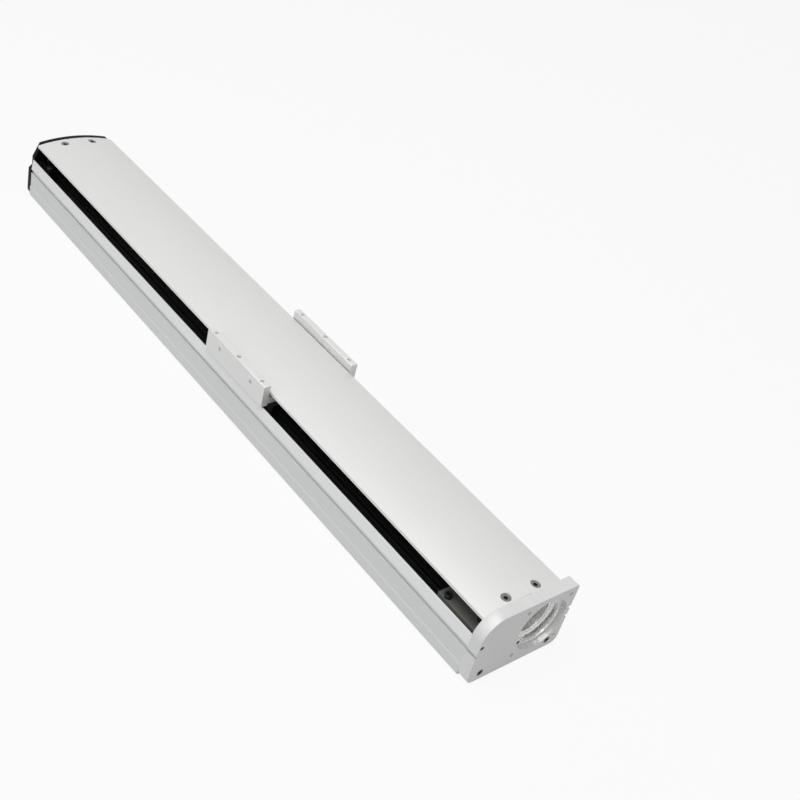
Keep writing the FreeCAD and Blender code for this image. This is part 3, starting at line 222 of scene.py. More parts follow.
class Finish(Graph):
    """A material for pieces of the actuator. Its patterns are sized in metres on the piece itself."""

    def __init__(self, name):
        self.material = bpy.data.materials.new(name)
        self.material.use_nodes = True
        super().__init__(self.material.node_tree)

    def noise(self, size, stretch=(1, 1, 1), detail=2):
        """Noise around 0 whose lumps have one size, drawn out along the axes by the stretch."""
        point = self.node("ShaderNodeTexCoord", output="Object")
        scale = [1 / (size * longer) for longer in stretch]
        place = self.node("ShaderNodeVectorMath", {"operation": "MULTIPLY"}, {0: point, 1: scale})
        return self.node("ShaderNodeTexNoise", None, {"Vector": place, "Scale": 1, "Detail": detail}) - 0.5

    def cells(self, size):
        """Distance to the nearest of many scattered points, from 0 to about 1."""
        point = self.node("ShaderNodeTexCoord", output="Object")
        return self.node("ShaderNodeTexVoronoi", None, {"Vector": point, "Scale": 1 / size})

    def along(self, axis):
        """How far along X, Y or Z a point of the actuator lies, in metres."""
        point = self.node("ShaderNodeTexCoord", output="Object")
        return self.node("ShaderNodeSeparateXYZ", None, {0: point}, axis)

    def near_drive(self, radius, start):
        """1 within a radius of the drive line and from a place along it on, and 0 elsewhere."""
        across = self.along("Y") - DRIVE_LINE[0]
        up = self.along("Z") - DRIVE_LINE[1]
        square = across * across + up * up
        far_out = square.math("GREATER_THAN", square, radius ** 2)
        along = self.along("X")
        return along.math("GREATER_THAN", along, start) * (1 - far_out)

    def steep(self, value, low, high):
        """0 below one value, 1 above another and even between them."""
        stops = ((low, 0), (high, 1))
        return self.node("ShaderNodeValToRGB", {"stops": stops}, {"Fac": value})

    def edges(self, width):
        """1 on sharp edges and 0 on flat faces."""
        rounded = self.node("ShaderNodeBevel", {"samples": 4}, {"Radius": width})
        face = self.node("ShaderNodeNewGeometry", output="Normal")
        match = self.node(
            "ShaderNodeVectorMath", {"operation": "DOT_PRODUCT"}, {0: rounded, 1: face}, "Value"
        )
        return self.steep(1 - match, 0.01, 0.12)

    def toned(self, colour, tone):
        """A colour made lighter or darker by a value around 1."""
        return self.node("ShaderNodeVectorMath", {"operation": "SCALE"}, {0: colour, "Scale": tone})

    def mixed(self, first, second, share):
        """Two colours mixed by a share."""
        inputs = {MIX_SHARE: share, MIX_FIRST: first, MIX_SECOND: second}
        return self.node("ShaderNodeMix", {"data_type": "RGBA"}, inputs, MIX_COLOUR)

    def relief(self, height, depth):
        """A surface direction from a pattern of heights that is so many metres deep."""
        return self.node("ShaderNodeBump", None, {"Strength": 1, "Distance": depth, "Height": height})

    def surface(self, **sockets):
        """End the material with its shader; names of sockets are written with underscores."""
        inputs = {name.replace("_", " "): value for name, value in sockets.items()}
        shader = self.node("ShaderNodeBsdfPrincipled", None, inputs)
        self.node("ShaderNodeOutputMaterial", None, {"Surface": shader})
        return self.material


def rgba(colour):
    """A colour with full cover."""
    return (*colour, 1)


# Finishes
def satin_aluminium(name, colour, lines, lip=None):
    """Anodised aluminium: faint lines along its length over a blasted grain; a lip on top can get a painted
    highlight.
    """
    finish = Finish(name)
    draw = finish.noise(0.0007, (lines, 1, 1), 3)
    grain = finish.noise(0.0003)
    cloud = finish.noise(0.16, (3, 1, 1))
    edge = finish.edges(0.0006)
    tone = 1 + draw * 0.10 + grain * 0.05 + cloud * 0.05
    if lip:
        # Painted highlight: above the given height the lip is painted lighter, for the light that its
        # upturned faces catch
        tone = tone + finish.steep(finish.along("Z"), lip - PAINTED_LIP_LIGHT_BLEND, lip) * PAINTED_LIP_LIGHT_GAIN
    # The pale edge colour is a painted highlight on the edges
    base = finish.mixed(finish.toned(colour, tone), rgba(SATIN_PAINTED_EDGE_HIGHLIGHT), edge * 0.35)
    return finish.surface(
        Base_Color=base,
        Metallic=0.25,
        Roughness=0.46 + draw * 0.16 + cloud * 0.08 - edge * 0.12,
        Normal=finish.relief(draw * 0.7 + grain * 0.3, 0.00002),
    )


def milled_aluminium(name, colour):
    """Anodised aluminium with the fine arcs of a face cutter, and rings in the turned opening."""
    finish = Finish(name)
    point = finish.node("ShaderNodeTexCoord", output="Object")
    centre = finish.node("ShaderNodeVectorMath", {"operation": "ADD"}, {0: point, 1: CUTTER_SHIFT})
    settings = {"wave_type": "RINGS", "rings_direction": "X"}
    arcs = finish.node("ShaderNodeTexWave", settings, {"Vector": centre, **CUTTER_ARCS}, "Fac") - 0.5
    grain = finish.noise(0.0003)
    rings = finish.noise(0.0008, (1, 30, 30))
    cloud = finish.noise(0.05)
    edge = finish.edges(0.0006)
    bare = finish.near_drive(PILOT_RADIUS, BLOCK_START)
    turned = finish.near_drive(OPENING_RADIUS, BLOCK_START)
    milled = (arcs * 0.6 + grain * 0.4) * (1 - turned)
    tone = 1 + arcs * 0.035 + grain * 0.05 + cloud * 0.08
    # The pale edge colour is a painted highlight on the edges
    coat = finish.mixed(finish.toned(colour, tone), rgba(MILLED_PAINTED_EDGE_HIGHLIGHT), edge * 0.4)
    recess = finish.mixed(coat, rgba(BARE_METAL), bare)
    # The turned opening is bare metal with painted light
    base = finish.mixed(recess, rgba(OPENING_METAL_PAINTED_LIGHT), turned)
    return finish.surface(
        Base_Color=base,
        Metallic=0.2 + bare * 0.3 + turned * 0.3,
        Specular_IOR_Level=0.35,
        Roughness=0.5 + arcs * 0.08 + cloud * 0.1 - edge * 0.1 - bare * 0.12 - turned * 0.1,
        Normal=finish.relief(milled + rings * turned, 0.00002),
    )


def dark_coated(name, colour, roughness, worn, gloss, bores=()):
    """A dark coat over metal; it can be worn at the edges, and have turned bores around the drive line with
    painted light and shade in their colours.
    """
    finish = Finish(name)
    skin = finish.noise(0.0006)
    cloud = finish.noise(0.02)
    base = finish.toned(colour, 1 + skin * 0.25 + cloud * 0.35)
    metal = 0.25
    if worn:
        rub = finish.steep(finish.edges(0.0005) + cloud * 0.8, 0.45, 0.95) * worn
        base = finish.mixed(base, rgba(WORN_COAT), rub)
        metal = metal + rub * 0.6
    if bores:
        bare = 0
        # A bore's colour carries painted light or shade: the deep chamber is painted shade
        for radius, start, shade in bores:
            turned = finish.near_drive(radius, start)
            base = finish.mixed(base, rgba(shade), turned)
            bare = turned.math("MAXIMUM", turned, bare)
        metal = metal + bare * 0.5
        roughness = roughness - bare * 0.2
    return finish.surface(
        Base_Color=base,
        Metallic=metal,
        Specular_IOR_Level=gloss,
        Roughness=roughness + skin * 0.15 + cloud * 0.12,
        Normal=finish.relief(skin, 0.00004),
    )


def ground_steel(name, colour, roughness, stretch, oil, socket=None):
    """Steel with grinding lines one way; it can have a film of oil, and a painted shadow in sockets below a
    height.
    """
    finish = Finish(name)
    lines = finish.noise(0.0004, stretch, 3)
    cloud = finish.noise(0.03)
    edge = finish.edges(0.0003)
    # The edge term paints the edges lighter: a painted highlight
    tone = 1 + lines * 0.22 + cloud * 0.15 + edge * 0.2
    base = finish.toned(colour, tone)
    if socket:
        # Painted shadow: below the rim's height the socket is painted dark
        rim = finish.steep(finish.along("Z"), socket - PAINTED_SHADOW_BLEND, socket)
        base = finish.mixed(rgba(PAINTED_SOCKET_SHADOW), base, rim)
    return finish.surface(
        Base_Color=base,
        Metallic=0.95,
        Roughness=roughness + lines * 0.18 + cloud * 0.1,
        Coat_Weight=oil + cloud * oil if oil else 0,
        Normal=finish.relief(lines, 0.00001),
    )


def black_screw(name, colour):
    """Black oxide on a screw, rubbed to grey on the rims of head and socket."""
    finish = Finish(name)
    speck = finish.noise(0.0005, (1, 1, 1), 4)
    edge = finish.edges(0.0003)
    rub = finish.steep(edge + speck * 0.6, 0.3, 0.9)
    base = finish.mixed(finish.toned(colour, 1 + speck * 0.5), rgba(RUBBED_OXIDE), rub * 0.6)
    return finish.surface(
        Base_Color=base,
        Metallic=0.8,
        Roughness=0.38 + speck * 0.2 - rub * 0.08,
        Normal=finish.relief(speck, 0.00002),
    )


def rubber(name, colour):
    """Moulded rubber: dull, with a dusty bloom and a fine pitted skin."""
    finish = Finish(name)
    pits = finish.cells(0.0008)
    bloom = finish.steep(finish.noise(0.006, (1, 1, 1), 4) + 0.5, 0.5, 0.8)
    base = finish.mixed(rgba(colour), rgba(RUBBER_BLOOM), bloom * 0.35)
    return finish.surface(
        Base_Color=base,
        Roughness=0.78 + bloom * 0.12,
        Normal=finish.relief(pits, 0.00005),
    )


def moulded_plastic(name, colour):
    """Moulded plastic with a sparked grain."""
    finish = Finish(name)
    spark = finish.cells(0.0006)
    cloud = finish.noise(0.015)
    return finish.surface(
        Base_Color=finish.toned(colour, 1 + cloud * 0.3 + spark * 0.15),
        Roughness=0.58 + spark * 0.12 + cloud * 0.1,
        Normal=finish.relief(spark, 0.00003),
    )


def turned_brass(name, colour):
    """Turned brass with tool rings and a little tarnish."""
    finish = Finish(name)
    rings = finish.noise(0.0003, (1, 30, 30))
    tarnish = finish.steep(finish.noise(0.002, (1, 1, 1), 4) + 0.5, 0.45, 0.75)
    base = finish.mixed(rgba(colour), rgba(BRASS_TARNISH), tarnish * 0.5)
    return finish.surface(
        Base_Color=base,
        Metallic=1.0,
        Roughness=0.28 + rings * 0.2 + tarnish * 0.2,
        Normal=finish.relief(rings, 0.00002),
    )


# Which finish each material slot of the model has
FINISHES = {
    # The body's lip gets a painted highlight from this height up
    "anodised_body": (satin_aluminium, {"lines": 80, "lip": PAINTED_LIP_LIGHT_HEIGHT}),
    "anodised_cover": (satin_aluminium, {"lines": 50}),
    "anodised_carriage": (satin_aluminium, {"lines": 25}),
    "grey_end_block": (milled_aluminium, {}),
    "dark_housing": (dark_coated, {"roughness": 0.5, "worn": 0.35, "gloss": 0.5, "bores": HOUSING_BORES}),
    # The far support housing wears this black too, which stands in for the shade in the channel
    "black_plate": (dark_coated, {"roughness": 0.5, "worn": 0.05, "gloss": 0.05}),
    # Near black liners: dark sheets that stand in for the shade in the channel
    "black_liner": (dark_coated, {"roughness": 0.7, "worn": 0, "gloss": 0}),
    # Black treated rail and guide blocks, kept near black so that they also stand in for the shade in the
    # channel
    "black_steel": (dark_coated, {"roughness": 0.45, "worn": 0.2, "gloss": 0.1}),
    "ground_steel": (ground_steel, {"roughness": 0.26, "stretch": (1, 25, 25), "oil": 0.25}),
    "bearing_steel": (ground_steel, {"roughness": 0.12, "stretch": (1, 1, 1), "oil": 0.2}),
    "spring_steel": (ground_steel, {"roughness": 0.36, "stretch": (1, 6, 6), "oil": 0.1}),
    # The cover screws get a painted shadow in their sockets
    "bright_screw": (ground_steel, {"roughness": 0.3, "stretch": (6, 6, 1), "oil": 0, "socket": PAINTED_SHADOW_TOP}),
    "dark_screw": (black_screw, {}),
    "rubber_stop": (rubber, {}),
    "rubber_seal": (rubber, {}),
    "cap_plastic": (moulded_plastic, {}),
    "brass_fitting": (turned_brass, {}),
}


# What a user would change
def colour_of(label, default):
    """A colour property of one finish."""
    return bpy.props.FloatVectorProperty(
        name=label,
        description=f"Base colour of the {label.lower()}",
        subtype="COLOR",
        min=0,
        max=1,
        default=default,
    )


def length_of(label, description, default):
    """A length property."""
    return bpy.props.FloatProperty(
        name=label, description=description, default=default, min=0, precision=5, unit="LENGTH"
    )


class ActuatorColours(bpy.types.PropertyGroup):
    """Base colours of the finishes, one for each material slot of the model."""

    anodised_body: colour_of("Base extrusion", (0.64, 0.65, 0.65))
    anodised_cover: colour_of("Cover", (0.73, 0.73, 0.715))
    grey_end_block: colour_of("Motor end block", (0.69, 0.70, 0.69))
    anodised_carriage: colour_of("Carriage table", (0.74, 0.745, 0.735))
    dark_housing: colour_of("Bearing housings", (0.16, 0.16, 0.145))
    # The far support housing wears this black too, which stands in for the shade in the channel
    black_plate: colour_of("End plate", (0.006, 0.006, 0.006))
    # Near black liners that stand in for the shade in the channel
    black_liner: colour_of("Channel liners", (0.002, 0.002, 0.002))
    # Black treated steel, kept near black so that it also stands in for the shade in the channel
    black_steel: colour_of("Black treated steel", (0.006, 0.006, 0.0065))
    ground_steel: colour_of("Ground steel", (0.55, 0.55, 0.56))
    bearing_steel: colour_of("Bearing steel", (0.65, 0.65, 0.66))
    spring_steel: colour_of("Spring steel", (0.2, 0.2, 0.21))
    dark_screw: colour_of("Black screws", (0.04, 0.04, 0.042))
    bright_screw: colour_of("Bright screws", (0.56, 0.56, 0.55))
    rubber_stop: colour_of("Rubber stops", (0.02, 0.02, 0.02))
    rubber_seal: colour_of("Rubber seals", (0.03, 0.03, 0.035))
    cap_plastic: colour_of("Guide caps", (0.03, 0.03, 0.03))
    brass_fitting: colour_of("Grease nipples", (0.6, 0.45, 0.2))


class ActuatorSizes(bpy.types.PropertyGroup):
    """Sizes of what Blender adds to the model."""

    large_edge: length_of("Large edge", "Broken edge on the base, housings, end plate and table", 0.0004)
    small_edge: length_of(
        "Small edge", "Broken edge on the end block, screws and other small pieces", 0.00015
    )
    lead: length_of("Lead", "How far the nut goes in one turn of the screw", LEAD)
    groove_radius: length_of("Groove radius", "Radius of the ball groove across the thread", 0.00165)
    groove_depth: length_of("Groove depth", "How deep the balls run in the screw", 0.0011)
    run_out: length_of("Run-out", "Length in which the groove fades at each end", 0.012)
    journal_radius: length_of("Journal radius", "Radius of the screw in its bearings", 0.006)
    shoulder_radius: length_of("Shoulder radius", "Radius of the screw beside its bearings", 0.0075)
    shaft_end_radius: length_of("Shaft end radius", "Radius of the screw's coupling end", SHAFT_END_RADIUS)
    thread_gap: length_of("Thread gap", "From a housing's face to the start of the thread", 0.004)
    bumper_length: length_of("Bumper length", "How far a rubber stop stands out", 0.023)
    bumper_recess: length_of("Bumper recess", "Depth of the screw's recess in a rubber stop", 0.007)
    recess_radius: length_of("Recess radius", "Radius of the screw's recess in a rubber stop", 0.0036)
    nipple_length: length_of("Nipple length", "How far a grease nipple stands out", 0.005)


class ActuatorStage(bpy.types.PropertyGroup):
    """Camera and light of the studio."""

    place: bpy.props.FloatVectorProperty(
        name="Camera place",
        description="Where the camera stands",
        subtype="TRANSLATION",
        unit="LENGTH",
        default=(0.9810, -0.7918, 0.9086),
    )
    azimuth: bpy.props.FloatProperty(
        name="Azimuth",
        description="Where the camera looks from, round from the left side",
        subtype="ANGLE",
        default=math.radians(42.1),
    )
    elevation: bpy.props.FloatProperty(
        name="Elevation",
        description="How far the camera looks down",
        subtype="ANGLE",
        default=math.radians(34.92),
    )
    roll: bpy.props.FloatProperty(
        name="Roll",
        description="How far the camera is tilted to one side",
        subtype="ANGLE",
        default=math.radians(16.51),
    )
    lens: bpy.props.FloatProperty(
        name="Lens",
        description="Focal length on a 36 mm sensor, in millimetres",
        unit="CAMERA",
        default=53.05,
    )
    sky: bpy.props.FloatProperty(
        name="Sky", description="Light from all around", default=0.36, min=0
    )
    backdrop: bpy.props.FloatProperty(
        name="Backdrop", description="How bright the sky looks; 1 is white", default=0.93, min=0, max=1
    )
    key: bpy.props.FloatProperty(
        name="Key lamp", description="Power of the large lamp above", subtype="POWER", default=44, min=0
    )
    side: bpy.props.FloatProperty(
        name="Side lamp", description="Power of the lamp on the left", subtype="POWER", default=9, min=0
    )


# Meshes
def material_of(context, slot):
    """The material of one slot, made when it is first asked for."""
    name = f"finish_{slot}"
    if name in bpy.data.materials:
        return bpy.data.materials[name]
    make, settings = FINISHES[slot]
    colour = tuple(getattr(context.scene.actuator_colours, slot))
    return make(name, colour, **settings)


def wear(context, piece, slot):
    """Give a piece the finish of one slot."""
    piece.data.materials.clear()
    piece.data.materials.append(material_of(context, slot))


def round_edges(piece, width):
    """Break the sharp edges of a CAD piece."""
    weld = piece.modifiers.new("weld", "WELD")
    weld.merge_threshold = WELD_DISTANCE
    flat = piece.modifiers.new("flat", "DECIMATE")
    flat.decimate_type = "DISSOLVE"
    flat.angle_limit = FLAT_ANGLE
    edge = piece.modifiers.new("edge", "BEVEL")
    edge.width = width
    edge.segments = ROUND_STEPS
    edge.limit_method = "ANGLE"
    edge.angle_limit = SHARP_ANGLE
    edge.use_clamp_overlap = False
    edge.harden_normals = True


def dress(context, names, width=0):
    """Give CAD nodes their finish and, where a width is given, broken edges."""
    for name in names:
        wear(context, NODES[name], SLOT_OF_NODE[name])
        if width:
            round_edges(NODES[name], width)


def add_piece(context, name, mesh, slot, body, node):
    """Put a finished mesh into the scene in the place of a CAD node."""
    bmesh.ops.remove_doubles(mesh, verts=mesh.verts, dist=WELD_DISTANCE)
    bmesh.ops.dissolve_degenerate(mesh, edges=mesh.edges, dist=WELD_DISTANCE)
    bmesh.ops.recalc_face_normals(mesh, faces=mesh.faces)
    data = bpy.data.meshes.new(name)
    mesh.to_mesh(data)
    mesh.free()
    data.shade_smooth()
    data.set_sharp_from_angle(angle=SHARP_ANGLE)
    piece = bpy.data.objects.new(name, data)
    context.scene.collection.objects.link(piece)
    wear(context, piece, slot)
    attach(piece, body)
    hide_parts(node)


def ring_point(x, radius, turn, axis):
    """A point at a place along X, at a radius and a share of a full turn around the axis."""
    angle = 2 * math.pi * turn
    return Vector((x, axis[0] + radius * math.cos(angle), axis[1] + radius * math.sin(angle)))


def add_rows(mesh, rows, step):
    """Join rows of points that run around an axis; a row ends on the row a step further on."""
    made = [[mesh.verts.new(point) for point in row] for row in rows]
    for number in range(len(made) - 1 - step):
        for place in range(AROUND):
            last = place + 1 == AROUND
            corners = [
                made[number][place],
                made[number + 1][place],
                made[number + 1 + step][0] if last else made[number + 1][place + 1],
                made[number + step][0] if last else made[number][place + 1],
            ]
            mesh.faces.new(corners)


def add_turned(mesh, profile, axis):
    """Turn a profile of places and radii around an axis along X."""
    rows = [
        [ring_point(x, radius, place / AROUND, axis) for place in range(AROUND)]
        for x, radius in profile
    ]
    add_rows(mesh, rows, 0)


def chamfered(start, end, radius, edge):
    """A stretch of shaft with a broken edge at both ends."""
    return [(start, radius - edge), (start + edge, radius), (end - edge, radius), (end, radius - edge)]


def groove_rows(sizes):
    """Rows of one turn of the thread: the place along the lead and the depth there."""
    steps = 8
    rest = sizes.groove_radius - sizes.groove_depth
    half = math.sqrt(sizes.groove_radius ** 2 - rest ** 2)
    rows = []
    for number in range(steps + 1):
        along = half * math.sin(math.pi * (number / steps - 0.5))
        depth = math.sqrt(max(0, sizes.groove_radius ** 2 - along ** 2)) - rest
        rows.append((along, max(0, depth)))
    return rows + [(sizes.lead / 2, 0)]


def add_thread(mesh, sizes, start, end, radius, axis):
    """A right-hand ball groove between two ends, where it fades out."""
    pattern = groove_rows(sizes)
    turns = math.ceil((end - start) / sizes.lead)
    rows = []
    for turn in range(-1, turns + 2):
        for along, depth in pattern:
            row = []
            for place in range(AROUND):
                share = place / AROUND
                x = start + (turn + share) * sizes.lead + along
                x = min(max(x, start), end)
                fade = min(1, (x - start) / sizes.run_out, (end - x) / sizes.run_out)
                row.append(ring_point(x, radius - depth * fade, share, axis))
            rows.append(row)
    add_rows(mesh, rows, len(pattern))


# Operators
class ACTUATOR_OT_base(bpy.types.Operator):
    """Finish the extruded base and line its channel with near black liners, which stand in for the shade
    inside the channel
    """

    bl_idname = "actuator.base"
    bl_label = "Base extrusion and liners"

    def execute(self, context):
        dress(context, ["base_extrusion"], context.scene.actuator_sizes.large_edge)
        # The liners are dark sheets put where the channel is in shade
        dress(context, ["left_channel_liner", "right_channel_liner"])
        return {"FINISHED"}


class ACTUATOR_OT_cover(bpy.types.Operator):
    """Finish the crowned cover and its sunk screws"""

    bl_idname = "actuator.cover"
    bl_label = "Cover"

    def execute(self, context):
        sizes = context.scene.actuator_sizes
        dress(context, ["top_cover"])
        dress(context, ["cover_screws"], sizes.small_edge)
        return {"FINISHED"}


class ACTUATOR_OT_end_block(bpy.types.Operator):
    """Finish the motor end block and its screws"""

    bl_idname = "actuator.end_block"
    bl_label = "Motor end block"

    def execute(self, context):
        sizes = context.scene.actuator_sizes
        dress(context, ["motor_end_block", "end_block_screws"], sizes.small_edge)
        return {"FINISHED"}


class ACTUATOR_OT_housings(bpy.types.Operator):
    """Finish the two bearing housings and the screws that hold them down"""

    bl_idname = "actuator.housings"
    bl_label = "Bearing housings"

    def execute(self, context):
        sizes = context.scene.actuator_sizes
        # The far support housing's black finish stands in for the shade in the channel
        dress(context, ["drive_housing", "far_support_housing"], sizes.large_edge)
        dress(context, ["housing_screws"], sizes.small_edge)
        return {"FINISHED"}


class ACTUATOR_OT_end_plate(bpy.types.Operator):
    """Finish the black end plate and its screws"""

    bl_idname = "actuator.end_plate"
    bl_label = "End plate"

    def execute(self, context):
        sizes = context.scene.actuator_sizes
        dress(context, ["end_plate"], sizes.large_edge)
        dress(context, ["end_plate_screws"], sizes.small_edge)
        return {"FINISHED"}


class ACTUATOR_OT_guide(bpy.types.Operator):
    """Finish the rail and the guide blocks with their caps, seals, balls and screws"""

    bl_idname = "actuator.guide"
    bl_label = "Guide"

    def execute(self, context):
        sizes = context.scene.actuator_sizes
        blocks = ["guide_rail", "front_guide_block", "rear_guide_block", "guide_end_caps", "guide_end_seals"]
        dress(context, blocks, sizes.small_edge)
        dress(context, ["rail_screws", "guide_block_screws"], sizes.small_edge)
        dress(context, ["guide_balls"])
        return {"FINISHED"}


class ACTUATOR_OT_nipples(bpy.types.Operator):
    """Turn the grease nipples: a thread collar, a neck and a round head"""

    bl_idname = "actuator.nipples"
    bl_label = "Grease nipples"

    def execute(self, context):
        length = context.scene.actuator_sizes.nipple_length
        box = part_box("grease_nipples")
        low, high = box
        axis = middle_of(box)
        radius = radius_of(box)
        # Shares of the length and of the radius: collar, neck, round head and the hole in its end
        profile = [
            (0, 0),
            (0, 1),
            (0.34, 1),
            (0.40, 0.9),
            (0.44, 0.55),
            (0.62, 0.5),
            (0.70, 0.68),
            (0.82, 0.74),
            (0.93, 0.6),
            (0.98, 0.32),
            (1, 0.2),
            (0.9, 0.12),
            (0.9, 0),
        ]
        mesh = bmesh.new()
        for foot, way in ((low.x + length, -1), (high.x - length, 1)):
            points = [(foot + way * along * length, share * radius) for along, share in profile]
            add_turned(mesh, points, axis)
        add_piece(context, "turned_grease_nipples", mesh, "brass_fitting", "carriage", "grease_nipples")
        return {"FINISHED"}


class ACTUATOR_OT_carriage(bpy.types.Operator):
    """Finish the carriage table, the nut bracket and the screws that join them"""

    bl_idname = "actuator.carriage"
    bl_label = "Carriage"

    def execute(self, context):
        sizes = context.scene.actuator_sizes
        dress(context, ["carriage_table", "nut_bracket"], sizes.large_edge)
        dress(context, ["nut_bracket_screws"], sizes.small_edge)
        return {"FINISHED"}


class ACTUATOR_OT_nut(bpy.types.Operator):
    """Finish the ball nut with its balls, wipers and screws"""

    bl_idname = "actuator.nut"
    bl_label = "Ball nut"

    def execute(self, context):
        dress(context, ["ball_nut", "nut_wipers", "nut_screws"], context.scene.actuator_sizes.small_edge)
        dress(context, ["nut_balls"])
        return {"FINISHED"}


class ACTUATOR_OT_screw(bpy.types.Operator):
    """Turn the ball screw and cut its right-hand thread"""

    bl_idname = "actuator.screw"
    bl_label = "Ball screw"

    def execute(self, context):
        sizes = context.scene.actuator_sizes
        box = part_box("ball_screw")
        low, high = box
        axis = middle_of(box)
        radius = radius_of(box)
        edge = sizes.large_edge
        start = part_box("far_support_housing")[1].x + sizes.thread_gap
        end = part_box("drive_housing")[0].x - sizes.thread_gap
        far_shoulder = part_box("far_bearing_inner_ring")[1].x
        near_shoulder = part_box("fixed_bearing_inner_rings")[0].x
        journal_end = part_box("bearing_locknut")[1].x
        far = [(low.x, 0)]
        far += chamfered(low.x, far_shoulder, sizes.journal_radius, edge)[:-1]
        far += [(far_shoulder, sizes.journal_radius)]
        far += chamfered(far_shoulder, start, sizes.shoulder_radius, edge)[:-1]
        far += [(start, sizes.shoulder_radius), (start, radius)]
        near = [(end, radius), (end, sizes.shoulder_radius)]
        near += chamfered(end, near_shoulder, sizes.shoulder_radius, edge)[2:]
        near += [(near_shoulder, sizes.journal_radius)]
        near += chamfered(near_shoulder, journal_end, sizes.journal_radius, edge)[2:]
        near += [(journal_end, sizes.shaft_end_radius)]
        near += chamfered(journal_end, high.x, sizes.shaft_end_radius, edge)[2:]
        near += [(high.x, 0)]
        mesh = bmesh.new()
        add_turned(mesh, far, axis)
        add_thread(mesh, sizes, start, end, radius, axis)
        add_turned(mesh, near, axis)
        add_piece(context, "threaded_ball_screw", mesh, "ground_steel", "screw", "ball_screw")
        return {"FINISHED"}


class ACTUATOR_OT_bearings(bpy.types.Operator):
    """Finish the bearings and what holds them on the screw and in the housings"""

    bl_idname = "actuator.bearings"
    bl_label = "Bearings"

    def execute(self, context):
        small = context.scene.actuator_sizes.small_edge
        rings = ["fixed_bearing_outer_rings", "far_bearing_outer_ring"]
        rings += ["fixed_bearing_inner_rings", "far_bearing_inner_ring"]
        holders = ["bearing_retainer", "retainer_screws", "bearing_collar", "bearing_locknut"]
        dress(context, holders, small)
        dress(context, rings + ["fixed_bearing_balls", "far_bearing_balls"])
        dress(context, ["far_bearing_clip", "far_shaft_clip"])
        return {"FINISHED"}


class ACTUATOR_OT_stops(bpy.types.Operator):
    """Mould the rubber stops, with a rounded nose and a recess for the screw"""

    bl_idname = "actuator.stops"
    bl_label = "Rubber stops"

    def execute(self, context):
        sizes = context.scene.actuator_sizes
        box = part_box("stop_bumpers")
        low, high = box
        radius = radius_of(box)
        height = middle_of(box)[1]
        length = sizes.bumper_length
        collar_end = 0.18 * length
        body_start = 0.24 * length
        body = 0.93 * radius
        nose = 0.15 * length
        rim = 0.3 * nose
        recess_floor = length - sizes.bumper_recess
        hole = 0.6 * sizes.recess_radius
        profile = [
            (0, hole),
            (0, radius),
            (collar_end, radius),
            (body_start, body),
            (length - nose, body),
            (length - rim, 0.9 * radius),
            (length, 0.8 * radius),
            (length, 1.15 * sizes.recess_radius),
            (length - rim, sizes.recess_radius),
            (recess_floor, sizes.recess_radius),
            (recess_floor, hole),
            (0, hole),
        ]
        mesh = bmesh.new()
        for foot, way in ((low.x, 1), (high.x, -1)):
            points = [(foot + way * along, out) for along, out in profile]
            for across in (low.y + radius, high.y - radius):
                add_turned(mesh, points, (across, height))
        add_piece(context, "moulded_stop_bumpers", mesh, "rubber_stop", "base", "stop_bumpers")
        dress(context, ["bumper_screws"], sizes.small_edge)
        return {"FINISHED"}


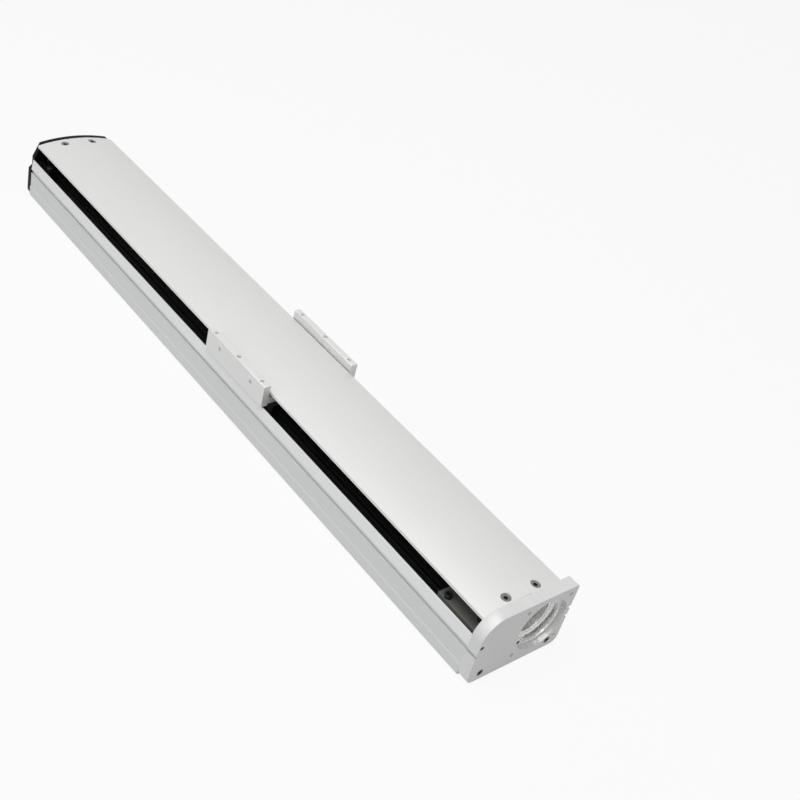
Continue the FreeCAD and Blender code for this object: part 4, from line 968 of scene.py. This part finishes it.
class ACTUATOR_OT_stage(bpy.types.Operator):
    """Set up the floor, the lamps, the sky and the camera"""

    bl_idname = "actuator.stage"
    bl_label = "Studio"

    def execute(self, context):
        stage = context.scene.actuator_stage
        self.add_floor(context)
        self.add_sky(context, stage)
        self.add_lamp(context, "key_lamp", stage.key, KEY_SIZE, KEY_PLACE)
        self.add_lamp(context, "side_lamp", stage.side, SIDE_SIZE, SIDE_PLACE)
        self.add_camera(context, stage)
        context.scene.view_settings.view_transform = "Standard"
        return {"FINISHED"}

    def add_floor(self, context):
        """A pale floor that looks almost white to the camera and keeps a soft shadow."""
        mesh = bmesh.new()
        bmesh.ops.create_grid(mesh, x_segments=FLOOR_CELLS, y_segments=FLOOR_CELLS, size=FLOOR_REACH)
        data = bpy.data.meshes.new("floor")
        mesh.to_mesh(data)
        mesh.free()
        floor = bpy.data.objects.new("floor", data)
        context.scene.collection.objects.link(floor)
        paint = Finish("floor_paint")
        grey = paint.toned(FLOOR_GREY, 1 + paint.noise(0.4) * 0.02)
        matt = paint.node("ShaderNodeBsdfDiffuse", None, {"Color": grey})
        glow = paint.node("ShaderNodeEmission", None, {"Color": rgba(WHITE), "Strength": 1})
        share = paint.camera_share() * FLOOR_GLOW
        both = paint.node("ShaderNodeMixShader", None, {0: share, 1: matt, 2: glow})
        paint.node("ShaderNodeOutputMaterial", None, {"Surface": both})
        data.materials.append(paint.material)

    def add_sky(self, context, stage):
        """A pale sky that looks like the floor far off, and is dimmer as a light."""
        world = bpy.data.worlds.new("studio")
        world.use_nodes = True
        sky = Graph(world.node_tree)
        strength = stage.sky + sky.camera_share() * (stage.backdrop - stage.sky)
        light = sky.node("ShaderNodeBackground", None, {"Color": rgba(WHITE), "Strength": strength})
        sky.node("ShaderNodeOutputWorld", None, {"Surface": light})
        context.scene.world = world

    def add_lamp(self, context, name, power, size, place):
        """A large soft lamp that faces the actuator."""
        light = bpy.data.lights.new(name, "AREA")
        light.energy = power
        light.size = size
        lamp = bpy.data.objects.new(name, light)
        lamp.location = place
        lamp.rotation_mode = "QUATERNION"
        lamp.rotation_quaternion = (-Vector(place)).to_track_quat("-Z", "Y")
        context.scene.collection.objects.link(lamp)

    def add_camera(self, context, stage):
        """A camera that looks as the photograph does."""
        lens = bpy.data.cameras.new("camera")
        lens.lens = stage.lens
        camera = bpy.data.objects.new("camera", lens)
        level = math.cos(stage.elevation)
        ahead = Vector(
            (
                -math.sin(stage.azimuth) * level,
                math.cos(stage.azimuth) * level,
                -math.sin(stage.elevation),
            )
        )
        camera.location = stage.place
        camera.rotation_mode = "QUATERNION"
        camera.rotation_quaternion = ahead.to_track_quat("-Z", "Y") @ Quaternion((0, 0, 1), stage.roll)
        context.scene.collection.objects.link(camera)
        context.scene.camera = camera


STEPS = (
    ACTUATOR_OT_base,
    ACTUATOR_OT_cover,
    ACTUATOR_OT_end_block,
    ACTUATOR_OT_housings,
    ACTUATOR_OT_end_plate,
    ACTUATOR_OT_guide,
    ACTUATOR_OT_nipples,
    ACTUATOR_OT_carriage,
    ACTUATOR_OT_nut,
    ACTUATOR_OT_screw,
    ACTUATOR_OT_bearings,
    ACTUATOR_OT_stops,
    ACTUATOR_OT_stage,
)


class ACTUATOR_PT_looks(bpy.types.Panel):
    """Lists the steps that dress the actuator"""

    bl_idname = "ACTUATOR_PT_looks"
    bl_label = "Ball screw actuator"
    bl_space_type = "VIEW_3D"
    bl_region_type = "UI"
    bl_category = "Actuator"

    def draw(self, context):
        for operator in STEPS:
            self.layout.operator(operator.bl_idname)
        for group in ("actuator_sizes", "actuator_colours", "actuator_stage"):
            settings = getattr(context.scene, group)
            column = self.layout.column()
            for name in settings.__annotations__:
                column.prop(settings, name)


CLASSES = (ActuatorColours, ActuatorSizes, ActuatorStage, *STEPS, ACTUATOR_PT_looks)


def register():
    """Add the properties, the operators and the panel to Blender."""
    for added in CLASSES:
        bpy.utils.register_class(added)
    bpy.types.Scene.actuator_colours = bpy.props.PointerProperty(type=ActuatorColours)
    bpy.types.Scene.actuator_sizes = bpy.props.PointerProperty(type=ActuatorSizes)
    bpy.types.Scene.actuator_stage = bpy.props.PointerProperty(type=ActuatorStage)


def unregister():
    """Take them out again."""
    del bpy.types.Scene.actuator_stage
    del bpy.types.Scene.actuator_sizes
    del bpy.types.Scene.actuator_colours
    for added in reversed(CLASSES):
        bpy.utils.unregister_class(added)


def main():
    """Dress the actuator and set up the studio."""
    register()
    for operator in STEPS:
        group, step = operator.bl_idname.split(".")
        getattr(getattr(bpy.ops, group), step)()


if __name__ == "__main__":
    main()
